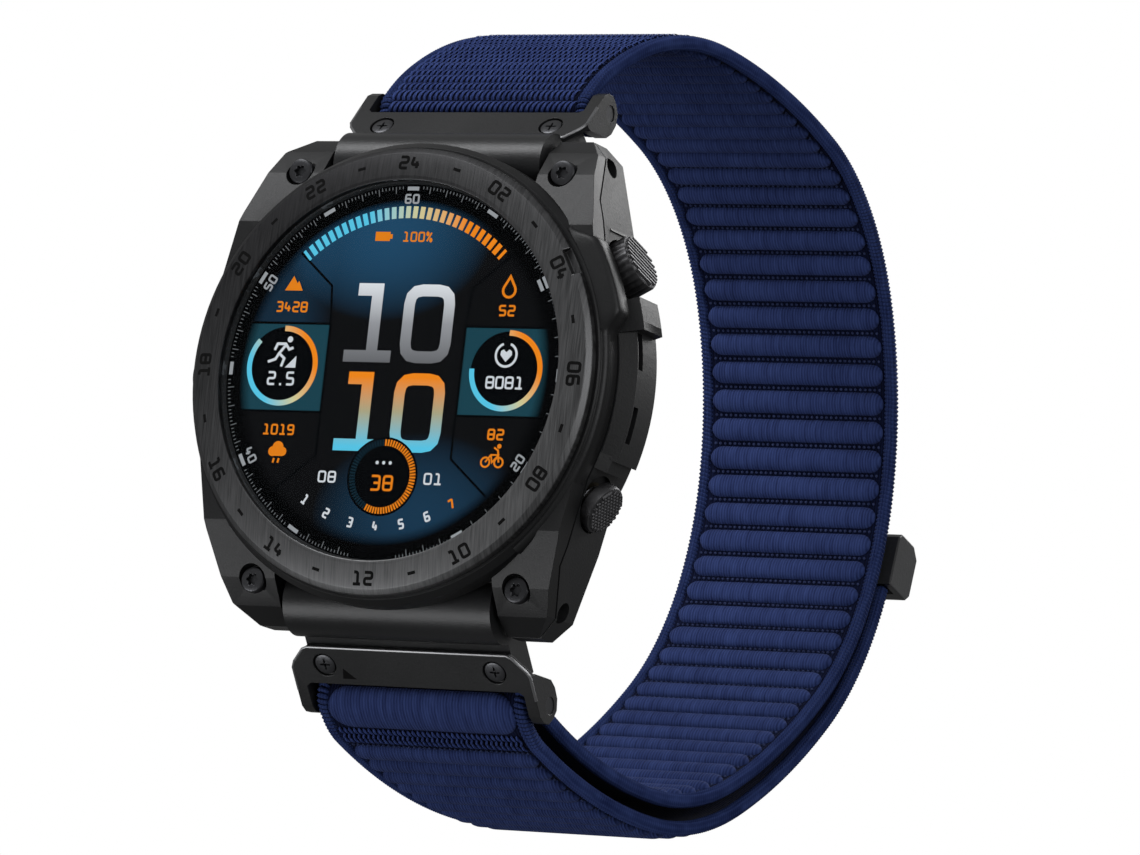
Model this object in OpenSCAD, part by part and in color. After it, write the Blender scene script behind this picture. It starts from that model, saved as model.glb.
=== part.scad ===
// Rugged round smartwatch on a hook-and-loop nylon band, closed as a loop.
// X points to 3 o'clock, +Z to 12 o'clock and +Y from the dial towards the wrist.
// The origin is the centre of the opening that the wrist goes through.
// The head is drawn about the middle of its bezel face, and seat() moves it into place.

/* [Watch head] */
// Radius of the case body
case_r = 25.3; // [25:0.1:26]
// Outer radius of the bezel ring
bezel_r = 24.4; // [24:0.1:24.6]
// Radius of the cover glass
glass_r = 20.7; // [20.2:0.1:20.7]
// Depth from the bezel face to the back of the case body
case_depth = 11.9; // [11.6:0.1:13]
// Half height of the case at the lug tips
lug_tip = 27.0; // [26.6:0.1:27.2]
// Half width of the gap between two lugs
lug_gap = 13.35; // [13.35:0.05:13.5]
// Height of the lug pins above and below the dial centre
pin_z = 24.2; // [24.1:0.05:24.3]
// Depth of the lug pins below the bezel face
pin_y = 9.0; // [8.9:0.05:9.2]

/* [Buttons] */
// Travel of a button
press = 0.8; // [0.5:0.1:0.8]
// Radius of a button's stem
stem_r = 1.2; // [1:0.05:1.3]
// Running clearance round stems and pins
running = 0.05; // [0.03:0.01:0.08]
// Angle of the right-hand buttons above and below 3 o'clock
side_angle = 29; // [28:0.5:30]

/* [Band links] */
// Angle at which the links lean back from the dial plane
link_tilt = 40; // [36:1:42]
// Radius of the barrel between the lugs
barrel_r = 3.7; // [3.4:0.1:3.8]
// Extra neck of the lower link, which carries the fold of the band
lower_neck = 1.6; // [1:0.1:1.8]
// Travel of a release latch
latch_travel = 1.5; // [1.3:0.1:1.5]

/* [Band] */
// Full width of the band over its edge cords
band_w = 26.2; // [25:0.1:26.2]
// Thickness of the band
band_t = 2.4; // [2.2:0.1:2.6]
// Distance between the middles of the two layers
layer_pitch = 3.1; // [3:0.1:3.3]

/* [Hidden] */
$fn = 72;

// Place of the dial centre: in front of the wrist's centre and a little below it
dial_y = -57;
dial_z = -4;

// Levels below the bezel face, going in
glass_top = 0.05;
glass_bottom = 1.2;
frame_top = 1.4;
seam_y = 4.6;
gasket_t = 0.3;
cover_t = 1.4;
cavity_r = 22;
cavity_z = 18.2;
back_y = case_depth + cover_t;

// Lug screws and the slope of the lugs
screw_x = 16.2;
screw_z = 22.6;
screw_head_r = 1.45;
screw_y = 4.2;
screw_head_t = 0.9;
lug_pin_r = 1.1;
lug_pin_end = 16.9;
channel_r = barrel_r + 0.35;

// Buttons: name order is start, back, light, up, down
button_y = 8.0;
bush_r = 2.0;
bush_in = 21.4;
pocket_floor = 24.6;
ANGLES = [side_angle, -side_angle, 180 - side_angle, 180, 180 + side_angle];
CAP_R = [3.2, 2.8, 2.7, 2.7, 2.7];
FACE_R = [28.5, 27.4, 27.3, 27.6, 27.3];
cap_floor = pocket_floor + press + 0.5;

// Links, in a frame with the lug pin as its X axis, +Z away from the case, -Y outwards
plate_out = -1.75;
plate_in = -0.95;
plate_start = 3.0;
plate_end = 7.6;
plate_half = 14.8;
ear_in = 13.4;
ear_end = 12.3;
bar_y = 0.7;
bar_z = 10.6;
bar_r = 0.95;
fold_mid = 1.75;
body_half = 12.75;

// Run of the main layer from the upper bar round the wrist: radius and turn of each arc
ROUND = [[24.3, 15], [47.6, 35], [110, 15], [32.6, 46], [43, 29], [35.9, 50], [90, 15], [45, 25]];
main_start_turn = 90 - link_tilt;

// ---- helpers ----
module seat() translate([0, dial_y, dial_z]) children();

// Disc between two depths
module disc(r, y0, y1) translate([0, y1, 0]) rotate([90, 0, 0]) cylinder(r = r, h = y1 - y0);

// Flat outline in X and Z, extruded between two depths
module slab(y0, y1) translate([0, y1, 0]) rotate([90, 0, 0]) linear_extrude(y1 - y0) children();

// Profile of radius and depth, turned about the dial axis
module turned() rotate([-90, 0, 0]) rotate_extrude() children();

// Outline of depth and height, extruded across X
module across(half) translate([-half, 0, 0]) rotate([90, 0, 90]) linear_extrude(2 * half) children();

// Rod along X
module rod(r, x0, x1) translate([x0, 0, 0]) rotate([0, 90, 0]) cylinder(r = r, h = x1 - x0);

// Rod pointing out of the case at a clock angle, between two radii
module radial(angle, r, from, to)
    translate([0, button_y, 0]) rotate([0, -angle, 0]) rod(r, from, to);

module four_corners() for (sx = [0, 1], sz = [0, 1]) mirror([sx, 0, 0]) mirror([0, 0, sz]) children();

// ---- case outline and seam ----
module lug_plan(grow = 0)
    polygon([[lug_gap, 10], [lug_gap, lug_tip + grow], [17.2, lug_tip + grow], [19.4 + grow, 25.0],
        [21.6 + grow, 17.5], [24.2 + grow, 5], [14, 5]]);

module case_plan(grow = 0) {
    circle(r = case_r + grow);
    for (sx = [0, 1], sz = [0, 1]) mirror([sx, 0]) mirror([0, sz]) lug_plan(grow);
}

// Everything deeper than the seam between frame and body, moved in by a step
module below_seam(step, deep)
    across(32) polygon([[deep, -31], [11.2 + step, -31], [7.4 + step, -24.4], [seam_y + step, -19.8],
        [seam_y + step, 19.8], [7.4 + step, 24.4], [11.2 + step, 31], [deep, 31]]);

// Everything deeper than the sloping front of the lugs
module behind_lug_front()
    across(32) polygon([[20, -31], [14.4, -31], [8.9, -27.1], [6.2, -25.2], [4.2, -22.4],
        [2.0, -16.5], [2.0, 16.5], [4.2, 22.4], [6.2, 25.2], [8.9, 27.1], [14.4, 31], [20, 31]]);

// Space that a link's barrel turns in
module barrel_space() for (s = [0, 1]) mirror([0, 0, s]) {
    translate([0, pin_y, pin_z]) rod(channel_r, -lug_gap, lug_gap);
    translate([-lug_gap, pin_y - channel_r, pin_z]) cube([2 * lug_gap, 12, 12]);
    translate([-lug_gap, pin_y, pin_z - channel_r]) cube([2 * lug_gap, 12, 2 * channel_r]);
}

// ---- watch head ----
module top_frame() seat() color("#303133") difference() {
    union() {
        turned() polygon([[20.9, frame_top], [24.7, frame_top], [case_r, frame_top + 0.8],
            [case_r, seam_y], [19.3, seam_y], [19.3, 1.9], [20.9, 1.9]]);
        difference() {
            intersection() {
                slab(1.5, 13) four_plans();
                behind_lug_front();
            }
            below_seam(0, 20);
            disc(24.8, -1, 20);
        }
    }
    barrel_space();
    four_corners() translate([screw_x, 0, screw_z]) {
        disc(screw_head_r + 0.2, 0, screw_y + screw_head_t);
        disc(0.8, 0, 9);
    }
}

module four_plans() for (sx = [0, 1], sz = [0, 1]) mirror([sx, 0]) mirror([0, sz]) lug_plan();

module case_gasket() seat() color("#141414") difference() {
    intersection() {
        slab(seam_y, 12) difference() {
            case_plan(-0.3);
            circle(r = cavity_r + 0.2);
        }
        below_seam(0, 20);
    }
    below_seam(gasket_t, 20);
    barrel_space();
    radial(ANGLES[0], CAP_R[0] + 0.25, pocket_floor, 30);
    four_corners() translate([screw_x, 0, screw_z]) disc(0.95, 0, 12);
}

module mid_case() seat() color("#1d1e1f") difference() {
    union() {
        intersection() {
            slab(seam_y, case_depth) case_plan();
            below_seam(gasket_t, 20);
        }
        guard_arc(37.5, 43.5, 27.6, 5.4, 11.0);
    }
    slab(0, 20) intersection() {
        circle(r = cavity_r);
        square([60, 2 * cavity_z], center = true);
    }
    barrel_space();
    for (s = [0, 1]) mirror([0, 0, s]) translate([0, pin_y, pin_z]) rod(lug_pin_r, -22, 22);
    four_corners() translate([screw_x, 0, screw_z]) disc(0.8, 0, 7.75);
    four_corners() back_screw_place() disc(0.7, 8, 14);
    for (i = [0:4]) {
        radial(ANGLES[i], bush_r, 18, 30);
        radial(ANGLES[i], CAP_R[i] + 0.25, pocket_floor, 30);
    }
    back_gasket_groove();
}

module bezel_ring() seat() color("#3d3e40") difference() {
    turned() polygon([[glass_r + 0.05, -0.3], [glass_r + 0.45, -0.35], [bezel_r - 0.6, 0.0],
        [bezel_r, 0.5], [bezel_r, frame_top], [glass_r + 0.05, frame_top]]);
    rotate([0, -30.5, 0]) translate([bezel_r - 0.8, -1, -1.5]) cube([2, 1.9, 3]);
}

module bezel_screws() seat() color("#4a4a4c") four_corners() translate([screw_x, 0, screw_z])
    difference() {
        union() {
            disc(screw_head_r, screw_y, screw_y + screw_head_t);
            disc(0.8, screw_y + screw_head_t, 7.7);
        }
        disc(0.55, screw_y - 1, screw_y + 0.6);
    }

module lens() seat() color("#0a0c10", 0.4) disc(glass_r - 0.15, glass_top, glass_bottom);

module lens_gasket() seat() color("#111111") turned()
    translate([glass_r - 0.15, 0.45]) square([0.2, 0.75]);

module scale_ring() seat() color("#0c0d0f") turned()
    translate([18.2, glass_bottom + 0.1]) square([2.4, 0.6]);

module display_panel() seat() color("#16384c") disc(18.9, 1.95, 3.1);

module chassis() seat() color("#2a2c2e") difference() {
    slab(4.7, 10.9) intersection() {
        circle(r = cavity_r - 0.4);
        square([60, 2 * cavity_z - 0.6], center = true);
    }
    slab(6.4, 12) chassis_inside();
    slab(3, 5.6) chassis_inside();
    for (i = [0:4]) radial(ANGLES[i], bush_r + 0.3, 17, 26);
}

module chassis_inside() intersection() {
    circle(r = 20);
    square([60, 33], center = true);
}

module main_board() seat() color("#0f4a30") {
    slab(3.4, 4.2) intersection() {
        circle(r = 19.2);
        square([60, 32], center = true);
    }
    for (c = [[-7, 5, 9, 9], [6, 6, 7, 7], [-8, -7, 6, 8], [4, -6, 10, 6]])
        translate([c[0], 0, c[1]]) slab(4.2, 5.3) square([c[2], c[3]], center = true);
}

module battery_cell() seat() color("#8f9499") translate([-4, 0, 0]) slab(6.6, 10.4)
    square([21, 26.6], center = true);

module vibration_motor() seat() color("#b8babd") translate([11.5, 0, -6.5]) disc(4, 6.6, 9.2);

module speaker_unit() seat() color("#5b5d60") translate([11.5, 0, 4.5]) slab(6.6, 9.4)
    square([7, 11], center = true);

module back_screw_place() rotate([0, -40, 0]) translate([23.4, 0, 0]) children();

module back_gasket_groove() turned() translate([22.4, case_depth - 0.5]) square([0.3, 1]);

module back_cover() seat() color("#26272a") difference() {
    slab(case_depth, back_y) intersection() {
        circle(r = 24.9);
        square([60, 37.6], center = true);
    }
    disc(8.5, 0, 20);
    four_corners() back_screw_place() {
        disc(0.7, 0, 20);
        disc(1.25, back_y - 0.8, 20);
    }
    translate([0, 0, -13]) slab(back_y - 0.7, 20) square([8, 3.6], center = true);
    for (x = [-2.4:1.6:2.4]) translate([x, 0, -13]) disc(0.5, 0, 20);
}

module back_gasket() seat() color("#111111") intersection() {
    turned() translate([22.42, case_depth - 0.48]) square([0.26, 0.48]);
    translate([-30, 0, -18.6]) cube([60, 30, 37.2]);
}

module back_screws() seat() color("#55565a") four_corners() back_screw_place() difference() {
    union() {
        disc(0.7, 8.2, back_y - 0.7);
        disc(1.2, back_y - 0.78, back_y - 0.05);
    }
    disc(0.45, back_y - 0.4, 20);
}

module sensor_window() seat() color("#0b0b0d") turned()
    polygon([[0, case_depth + 0.1], [8.45, case_depth + 0.1], [8.45, back_y + 0.2], [7.6, back_y + 0.9],
        [5, back_y + 1.25], [0, back_y + 1.4]]);

module sensor_board() seat() color("#0f4a30") {
    disc(7.6, 11.1, 11.6);
    for (a = [0:90:270]) rotate([0, a, 0]) translate([4, 0, 0]) slab(11.6, 11.95) square(1.8, center = true);
}

module charge_contacts() seat() color("#c8a24a") for (x = [-2.4:1.6:2.4])
    translate([x, 0, -13]) disc(0.48, 11.2, back_y - 0.4);

// Guard strip that stands off the case wall between two clock angles
module guard_arc(from, to, r_out, y0, y1) rotate([0, -from, 0]) translate([0, y1, 0])
    rotate([90, 0, 0]) rotate_extrude(angle = to - from) translate([case_r, 0])
        polygon([[0, 0], [r_out - case_r, 0.9], [r_out - case_r, y1 - y0 - 0.9], [0, y1 - y0]]);

module side_guard() seat() color("#1b1c1d") difference() {
    union() {
        guard_arc(-18, 18, 27.0, 5.1, 11.4);
        guard_arc(12.5, 20, 28.0, 4.9, 11.0);
        guard_arc(-21, -17, 26.5, 4.9, 11.0);
    }
    for (a = [-9, 8]) rotate([0, -a, 0]) translate([case_r - 1, 6.2, -2]) cube([4, 1, 4]);
    for (i = [0, 1]) radial(ANGLES[i], CAP_R[i] + 0.3, 20, 32);
}

module left_guard() seat() color("#1b1c1d") difference() {
    guard_arc(157.5, 202.5, 26.9, 5.1, 11.4);
    for (i = [2:4]) radial(ANGLES[i], CAP_R[i] + 0.3, 20, 32);
}

// ---- buttons ----
module button_bushes() seat() color("#b0a070") for (i = [0:4]) difference() {
    radial(ANGLES[i], bush_r, bush_in, pocket_floor);
    radial(ANGLES[i], stem_r + running, 18, 30);
    radial(ANGLES[i], bush_r - 0.3, 22.6, 23.4);
}

module button_seals() seat() color("#101010") for (i = [0:4]) difference() {
    radial(ANGLES[i], bush_r - 0.32, 22.65, 23.35);
    radial(ANGLES[i], stem_r + running, 18, 30);
}

module button_switches() seat() color("#c9ccd0") for (i = [0:4])
    radial(ANGLES[i], 1.6, 18.4, 19.2);

module button(i) seat() color("#3a3b3d") {
    radial(ANGLES[i], stem_r, 20.1, cap_floor + 0.5);
    radial(ANGLES[i], 1.6, 20.6, 21.0);
    radial(ANGLES[i], CAP_R[i], cap_floor, FACE_R[i]);
}
module button_start() button(0);
module button_back() button(1);
module button_light() button(2);
module button_up() button(3);
module button_down() button(4);

module spring(i) seat() color("#9a9da1") difference() {
    radial(ANGLES[i], 1.9, pocket_floor + 0.03, cap_floor - 0.03);
    radial(ANGLES[i], stem_r + 0.2, 18, 30);
}
module spring_start() spring(0);
module spring_back() spring(1);
module spring_light() spring(2);
module spring_up() spring(3);
module spring_down() spring(4);

// ---- lug pins ----
module lug_pin(side) seat() color("#8d9094") mirror([0, 0, side])
    translate([0, pin_y, pin_z]) rod(lug_pin_r, -lug_pin_end, lug_pin_end);
module lug_pin_upper() lug_pin(0);
module lug_pin_lower() lug_pin(1);

// ---- links: side 0 is the upper one, side 1 the lower one ----
module at_link(side) seat() mirror([0, 0, side]) translate([0, pin_y, pin_z])
    rotate([-link_tilt, 0, 0]) children();

function neck(side) = side * lower_neck;

module box(x, y0, y1, z0, z1) translate([-x, y0, z0]) cube([2 * x, y1 - y0, z1 - z0]);

module link_body(side) at_link(side) color("#222325") difference() {
    union() {
        rod(barrel_r, -body_half, body_half);
        box(12.6, plate_in, 2.6, 2.4, plate_end + neck(side));
    }
    rod(lug_pin_r + running, -20, 20);
    box(20, 0, 6, -lug_pin_r - running, lug_pin_r + running);
    box(20, -6, plate_in, plate_start + neck(side) - 0.1, 12);
    box(5.05, 1.2, 2.1, -1, 5.4 + latch_travel);
    box(3.3, 2, 6, 2.6, 4.4 + latch_travel);
    for (x = [-10.5, 10.5]) translate([x, 0, plate_mid(side)]) disc(0.6, -2, 1.4);
}
module link_body_upper() link_body(0);
module link_body_lower() link_body(1);

function plate_mid(side) = (plate_start + plate_end) / 2 - 0.1 + neck(side);

module link_plate(side) at_link(side) color("#2c2d2f") difference() {
    union() {
        slab(plate_out, plate_in) translate([0, neck(side)]) polygon([
            [-12.4, plate_start], [12.4, plate_start], [plate_half, 5.6], [plate_half, plate_end + 0.4],
            [ear_in, plate_end + 0.4], [12.9, plate_end], [-12.9, plate_end],
            [-ear_in, plate_end + 0.4], [-plate_half, plate_end + 0.4], [-plate_half, 5.6]]);
        for (s = [0, 1]) mirror([s, 0, 0]) translate([ear_in, 0, neck(side)])
            rotate([90, 0, 90]) linear_extrude(plate_half - ear_in) polygon([
                [plate_out, 5.6], [-0.6, 5.8], [2.2, 8.2], [2.6, 9.4], [2.5, 10.8], [1.8, 11.9],
                [0.7, ear_end], [-0.4, ear_end], [-1.3, 11.6], [plate_out, 10.6]]);
    }
    translate([0, bar_y, bar_z + neck(side)]) rod(bar_r, -20, 20);
    for (x = [-10.5, 10.5]) translate([x, 0, plate_mid(side)]) {
        disc(0.65, -5, 5);
        disc(1.4, -5, plate_out + 0.45);
    }
}
module link_plate_upper() link_plate(0);
module link_plate_lower() link_plate(1);

module link_screws(side) at_link(side) color("#515255") for (x = [-10.5, 10.5])
    translate([x, 0, plate_mid(side)]) difference() {
        union() {
            disc(1.3, plate_out + 0.05, plate_out + 0.45);
            disc(0.6, plate_out + 0.4, 1.3);
        }
        disc(0.4, -5, plate_out + 0.3);
    }
module link_screws_upper() link_screws(0);
module link_screws_lower() link_screws(1);

module strap_bar(side) at_link(side) color("#77797c")
    translate([0, bar_y, bar_z + neck(side)]) rod(bar_r, -plate_half + 0.1, plate_half - 0.1);
module strap_bar_upper() strap_bar(0);
module strap_bar_lower() strap_bar(1);

module latch(side) at_link(side) color("#6c6e72") {
    box(5, 1.25, 2.05, -0.2, 4.4);
    box(3.1, 1.9, 3.5, 2.8, 4.2);
}
module latch_upper() latch(0);
module latch_lower() latch(1);

module latch_spring(side) at_link(side) color("#9a9da1")
    for (x = [-3, 3]) translate([x, 1.65, 4.45]) difference() {
        cylinder(r = 0.38, h = 2.4);
        translate([0, 0, -1]) cylinder(r = 0.2, h = 5);
    }
module latch_spring_upper() latch_spring(0);
module latch_spring_lower() latch_spring(1);

// ---- band: arcs in the plane of depth and height ----
// A state is [depth, height, heading]. An arc is [radius, turn]: both are positive for a turn
// to the right and both negative for a turn to the left. Outwards is left of the main layer's run.
function step(s, arc) = [
    s[0] + arc[0] * (sin(s[2]) - sin(s[2] - arc[1])),
    s[1] + arc[0] * (cos(s[2] - arc[1]) - cos(s[2])),
    s[2] - arc[1]];
function walk(s, arcs, n) = n == 0 ? s : step(walk(s, arcs, n - 1), arcs[n - 1]);
function aside(s, out) = [s[0] - out * sin(s[2]), s[1] + out * cos(s[2]), s[2]];

// The two arcs with the given turns that lead from a state to a point
function two_arcs(s, turn1, turn2, target) = let(
    h1 = s[2] - turn1, h2 = h1 - turn2,
    a = sin(s[2]) - sin(h1), b = sin(h1) - sin(h2),
    c = cos(h1) - cos(s[2]), d = cos(h2) - cos(h1),
    u = target[0] - s[0], v = target[1] - s[1], det = a * d - b * c)
    [[(u * d - b * v) / det, turn1], [(a * v - c * u) / det, turn2]];

// Depth and height of a point given in a link's own frame
function link_point(side, y, z) = [
    pin_y + z * sin(link_tilt) + y * cos(link_tilt),
    (1 - 2 * side) * (pin_z + z * cos(link_tilt) - y * sin(link_tilt))];

// Points along a run of arcs, a distance to its left
function pieces_of(arc) = max(ceil(abs(arc[0] * arc[1]) * PI / 360), ceil(abs(arc[1]) / 12));
function side_of(start, arcs, out) = [
    for (i = [0:len(arcs) - 1]) let(s = walk(start, arcs, i), n = pieces_of(arcs[i]))
        for (k = [0:n - (i == len(arcs) - 1 ? 0 : 1)])
            let(p = aside(step(s, [arcs[i][0], arcs[i][1] * k / n]), out)) [p[0], p[1]]];
function reversed(list) = [for (i = [len(list) - 1:-1:0]) list[i]];

// A length of cloth that follows a run of arcs
module cloth(start, arcs, t, out = 0) seat() across(band_w / 2) polygon(concat(
    side_of(start, arcs, out + t / 2), reversed(side_of(start, arcs, out - t / 2))));

// Main layer, from the upper bar round the wrist to the lower bar
fold_t = 1.5;
end_gap = 0.4;
upper_top = link_point(0, bar_y - fold_mid, bar_z);
lower_top = link_point(1, bar_y - fold_mid, bar_z + lower_neck);
lower_under = link_point(1, bar_y + fold_mid, bar_z + lower_neck);
main_start = [upper_top[0], upper_top[1], main_start_turn];
belly = walk(main_start, ROUND, len(ROUND));
MAIN = concat(ROUND, two_arcs(belly, 20, main_start_turn - 20, lower_under));
last = len(MAIN) - 1;
body_start = step(walk(main_start, MAIN, 1), [MAIN[1][0], end_gap]);
BODY = concat([[MAIN[1][0], MAIN[1][1] - end_gap]], [for (i = [2:last - 2]) MAIN[i]],
    [[MAIN[last - 1][0], MAIN[last - 1][1] - end_gap]]);

// The tail, written from its tip back to the lower bar outside the main layer
rear = 5;
tip_turn = 22;
tab_turn = 14;
tail_tip_start = aside(step(walk(main_start, MAIN, rear), [MAIN[rear][0], tab_turn]), layer_pitch);
BESIDE = [[MAIN[rear][0] + layer_pitch, tip_turn],
    [MAIN[rear][0] + layer_pitch, MAIN[rear][1] - tip_turn - tab_turn],
    [MAIN[rear + 1][0] + layer_pitch, MAIN[rear + 1][1]],
    [MAIN[rear + 2][0] + layer_pitch, MAIN[rear + 2][1]]];
tail_last = walk(tail_tip_start, BESIDE, len(BESIDE));
LEAD = two_arcs(tail_last, 18, main_start_turn - 18, lower_top);
TAIL = [BESIDE[1], BESIDE[2], BESIDE[3], [LEAD[0][0], LEAD[0][1] - end_gap]];

module band_upper_end() color("#1f2c5c") {
    under = aside(walk(main_start, MAIN, 1), -2 * fold_mid);
    cloth([under[0], under[1], under[2] - 180],
        [[2 * fold_mid - MAIN[0][0], -MAIN[0][1]], [fold_mid, 180], MAIN[0]], fold_t);
}

module band_main() color("#1f2c5c") cloth(body_start, BODY, band_t);

module band_lower_turn() color("#1f2c5c") cloth(walk(main_start, MAIN, last),
    [MAIN[last], [-fold_mid, -180], [-LEAD[1][0], -LEAD[1][1]]], fold_t);

module band_tail() color("#1f2c5c") cloth(walk(tail_tip_start, BESIDE, 1), TAIL, band_t);

module band_tail_tip() color("#1f2c5c")
    cloth(tail_tip_start, [[BESIDE[0][0], BESIDE[0][1] - 2 * end_gap]], band_t);

module hook_patch() color("#17203f")
    cloth(step(tail_tip_start, [BESIDE[0][0], 5]), [[BESIDE[0][0], BESIDE[0][1] - 7]], 0.4,
        -band_t / 2 - 0.25);

// Moulded cap over the end of the tail
module end_tab() seat() color("#161616") translate([0, tail_tip_start[0], tail_tip_start[1]])
    rotate([tail_tip_start[2] + 90, 0, 0]) difference() {
        across(13.9) polygon([[-1.5, -2.6], [3.4, -2.6], [4.3, -1.7], [4.3, 3.0], [2.8, 4.2], [-0.9, 4.2],
            [-1.5, 3.6]]);
        box(band_w / 2, -band_t / 2 - 0.12, band_t / 2 + 0.12, -6, 0);
    }

top_frame();
case_gasket();
mid_case();
bezel_ring();
bezel_screws();
lens();
lens_gasket();
scale_ring();
display_panel();
chassis();
main_board();
battery_cell();
vibration_motor();
speaker_unit();
back_cover();
back_gasket();
back_screws();
sensor_window();
sensor_board();
charge_contacts();
side_guard();
left_guard();
button_bushes();
button_seals();
button_switches();
button_start();
button_back();
button_light();
button_up();
button_down();
spring_start();
spring_back();
spring_light();
spring_up();
spring_down();
lug_pin_upper();
lug_pin_lower();
link_body_upper();
link_plate_upper();
link_screws_upper();
strap_bar_upper();
latch_upper();
latch_spring_upper();
link_body_lower();
link_plate_lower();
link_screws_lower();
strap_bar_lower();
latch_lower();
latch_spring_lower();
band_upper_end();
band_main();
band_lower_turn();
band_tail();
band_tail_tip();
hook_patch();
end_tab();
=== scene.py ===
# %% [markdown]
# # A rugged round watch on a ribbed nylon band
# The watch head, links and buttons come from a packed CAD model. This script gives them
# their finishes and makes what CAD leaves plain: the woven band, the dial and the fine fittings.
# Every cell makes one thing, and the cell before it says what that thing is on the real object.

# %% Load the packed model
import math

import bmesh
import bpy
from mathutils import Matrix, Vector


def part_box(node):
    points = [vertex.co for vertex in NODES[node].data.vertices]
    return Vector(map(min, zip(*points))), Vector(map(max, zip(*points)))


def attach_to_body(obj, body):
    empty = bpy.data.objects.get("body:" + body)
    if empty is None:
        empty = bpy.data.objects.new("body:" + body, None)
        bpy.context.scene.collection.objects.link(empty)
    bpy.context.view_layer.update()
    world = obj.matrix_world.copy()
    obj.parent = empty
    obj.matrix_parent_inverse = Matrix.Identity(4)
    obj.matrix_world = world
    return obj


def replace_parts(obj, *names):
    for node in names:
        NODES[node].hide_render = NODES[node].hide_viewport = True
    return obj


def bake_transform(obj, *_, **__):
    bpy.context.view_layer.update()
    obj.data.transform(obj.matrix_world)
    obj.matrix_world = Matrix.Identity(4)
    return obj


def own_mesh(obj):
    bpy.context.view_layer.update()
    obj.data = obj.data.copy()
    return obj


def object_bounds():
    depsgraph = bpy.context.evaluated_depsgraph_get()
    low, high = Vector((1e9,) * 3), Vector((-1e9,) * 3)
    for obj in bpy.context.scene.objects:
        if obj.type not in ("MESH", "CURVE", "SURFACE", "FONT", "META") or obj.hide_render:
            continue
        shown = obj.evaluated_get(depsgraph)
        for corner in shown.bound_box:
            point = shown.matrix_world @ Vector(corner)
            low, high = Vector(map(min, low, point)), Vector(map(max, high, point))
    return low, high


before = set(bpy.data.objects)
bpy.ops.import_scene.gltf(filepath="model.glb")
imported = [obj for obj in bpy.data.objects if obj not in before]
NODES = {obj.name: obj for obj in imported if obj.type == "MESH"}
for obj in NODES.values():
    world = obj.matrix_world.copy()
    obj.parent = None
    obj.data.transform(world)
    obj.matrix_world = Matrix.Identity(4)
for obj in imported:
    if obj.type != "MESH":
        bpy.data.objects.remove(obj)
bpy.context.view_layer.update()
MM = 0.001
print("CAD nodes:", len(NODES))

# %% [markdown]
# ## Where things are
# The dial centre is the natural place to measure a watch from: X to 3 o'clock, Y into the case
# and Z to 12 o'clock, in millimetres. It is found from the cover glass, whose face lies just
# below the bezel face. Every mesh is drawn about that point and then moved into the frame.

# %% Dial centre
GLASS_SUNK = 0.05
glass_low, glass_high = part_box("lens")
DIAL = (glass_low + glass_high) / 2 / MM
DIAL.y = glass_low.y / MM - GLASS_SUNK
print("dial centre in millimetres:", [round(v, 2) for v in DIAL])

# %% [markdown]
# ## Camera
# A long lens stands a little below the watch and to its right, tipped slightly, so that the dial,
# the ribbed inside of the band and the side of the case all show. The camera's three axes are
# worked out from an azimuth, an elevation and a roll.

# %% Camera
AZIMUTH, ELEVATION, ROLL = (math.radians(angle) for angle in (28.331, -8.776, 6.280))
AIM = Vector((17.283, -46.648, -7.920)) * MM
CAMERA_DISTANCE = 0.700
FOCAL_LENGTH, SENSOR_WIDTH = 206.635, 36
NEAREST = 0.01


def in_scene(name, data):
    """A new object that holds this data, linked into the scene."""
    made = bpy.data.objects.new(name, data)
    bpy.context.collection.objects.link(made)
    return made


back = Vector((math.sin(AZIMUTH) * math.cos(ELEVATION), -math.cos(AZIMUTH) * math.cos(ELEVATION),
               math.sin(ELEVATION)))
level_right = (-back).cross(Vector((0, 0, 1))).normalized()
level_up = level_right.cross(-back)
right = level_right * math.cos(ROLL) + level_up * math.sin(ROLL)
up = level_up * math.cos(ROLL) - level_right * math.sin(ROLL)

camera_data = bpy.data.cameras.new("camera")
camera_data.lens = FOCAL_LENGTH
camera_data.sensor_width = SENSOR_WIDTH
camera_data.clip_start = NEAREST
camera = in_scene("camera", camera_data)
turn = Matrix((right, up, back)).transposed().to_4x4()
camera.matrix_world = Matrix.Translation(AIM + back * CAMERA_DISTANCE) @ turn
bpy.context.scene.camera = camera
print("camera stands at", [round(v, 3) for v in AIM + back * CAMERA_DISTANCE])

# %% [markdown]
# ## One way to add a node
# Shader trees and geometry trees are built the same way: a node's settings come first, because
# they can change its sockets, and then its sockets get values or links.

# %% Add a node
def add_node(tree, kind, settings=None, inputs=None):
    made = tree.nodes.new(kind)
    for key, value in (settings or {}).items():
        if key == "stops":
            ramp = made.color_ramp
            while len(ramp.elements) < len(value):
                ramp.elements.new(1.0)
            for element, (place, colour) in zip(ramp.elements, value):
                element.position, element.color = place, (*colour, 1)
        else:
            setattr(made, key, value)
    for key, value in (inputs or {}).items():
        if isinstance(value, Wire):
            value = value.socket
        if isinstance(value, bpy.types.NodeSocket):
            tree.links.new(value, made.inputs[key])
        elif made.inputs[key].type == "RGBA":
            made.inputs[key].default_value = (*value, 1)
        else:
            made.inputs[key].default_value = value
    return made


print("made the helper", add_node.__name__)

# %% [markdown]
# ## Shader sums as plain expressions
# A wrapped socket can be added, multiplied and raised to a power like a number, and each
# operator adds one Math node. So a woven pattern is written as the sum that it is.

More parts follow.
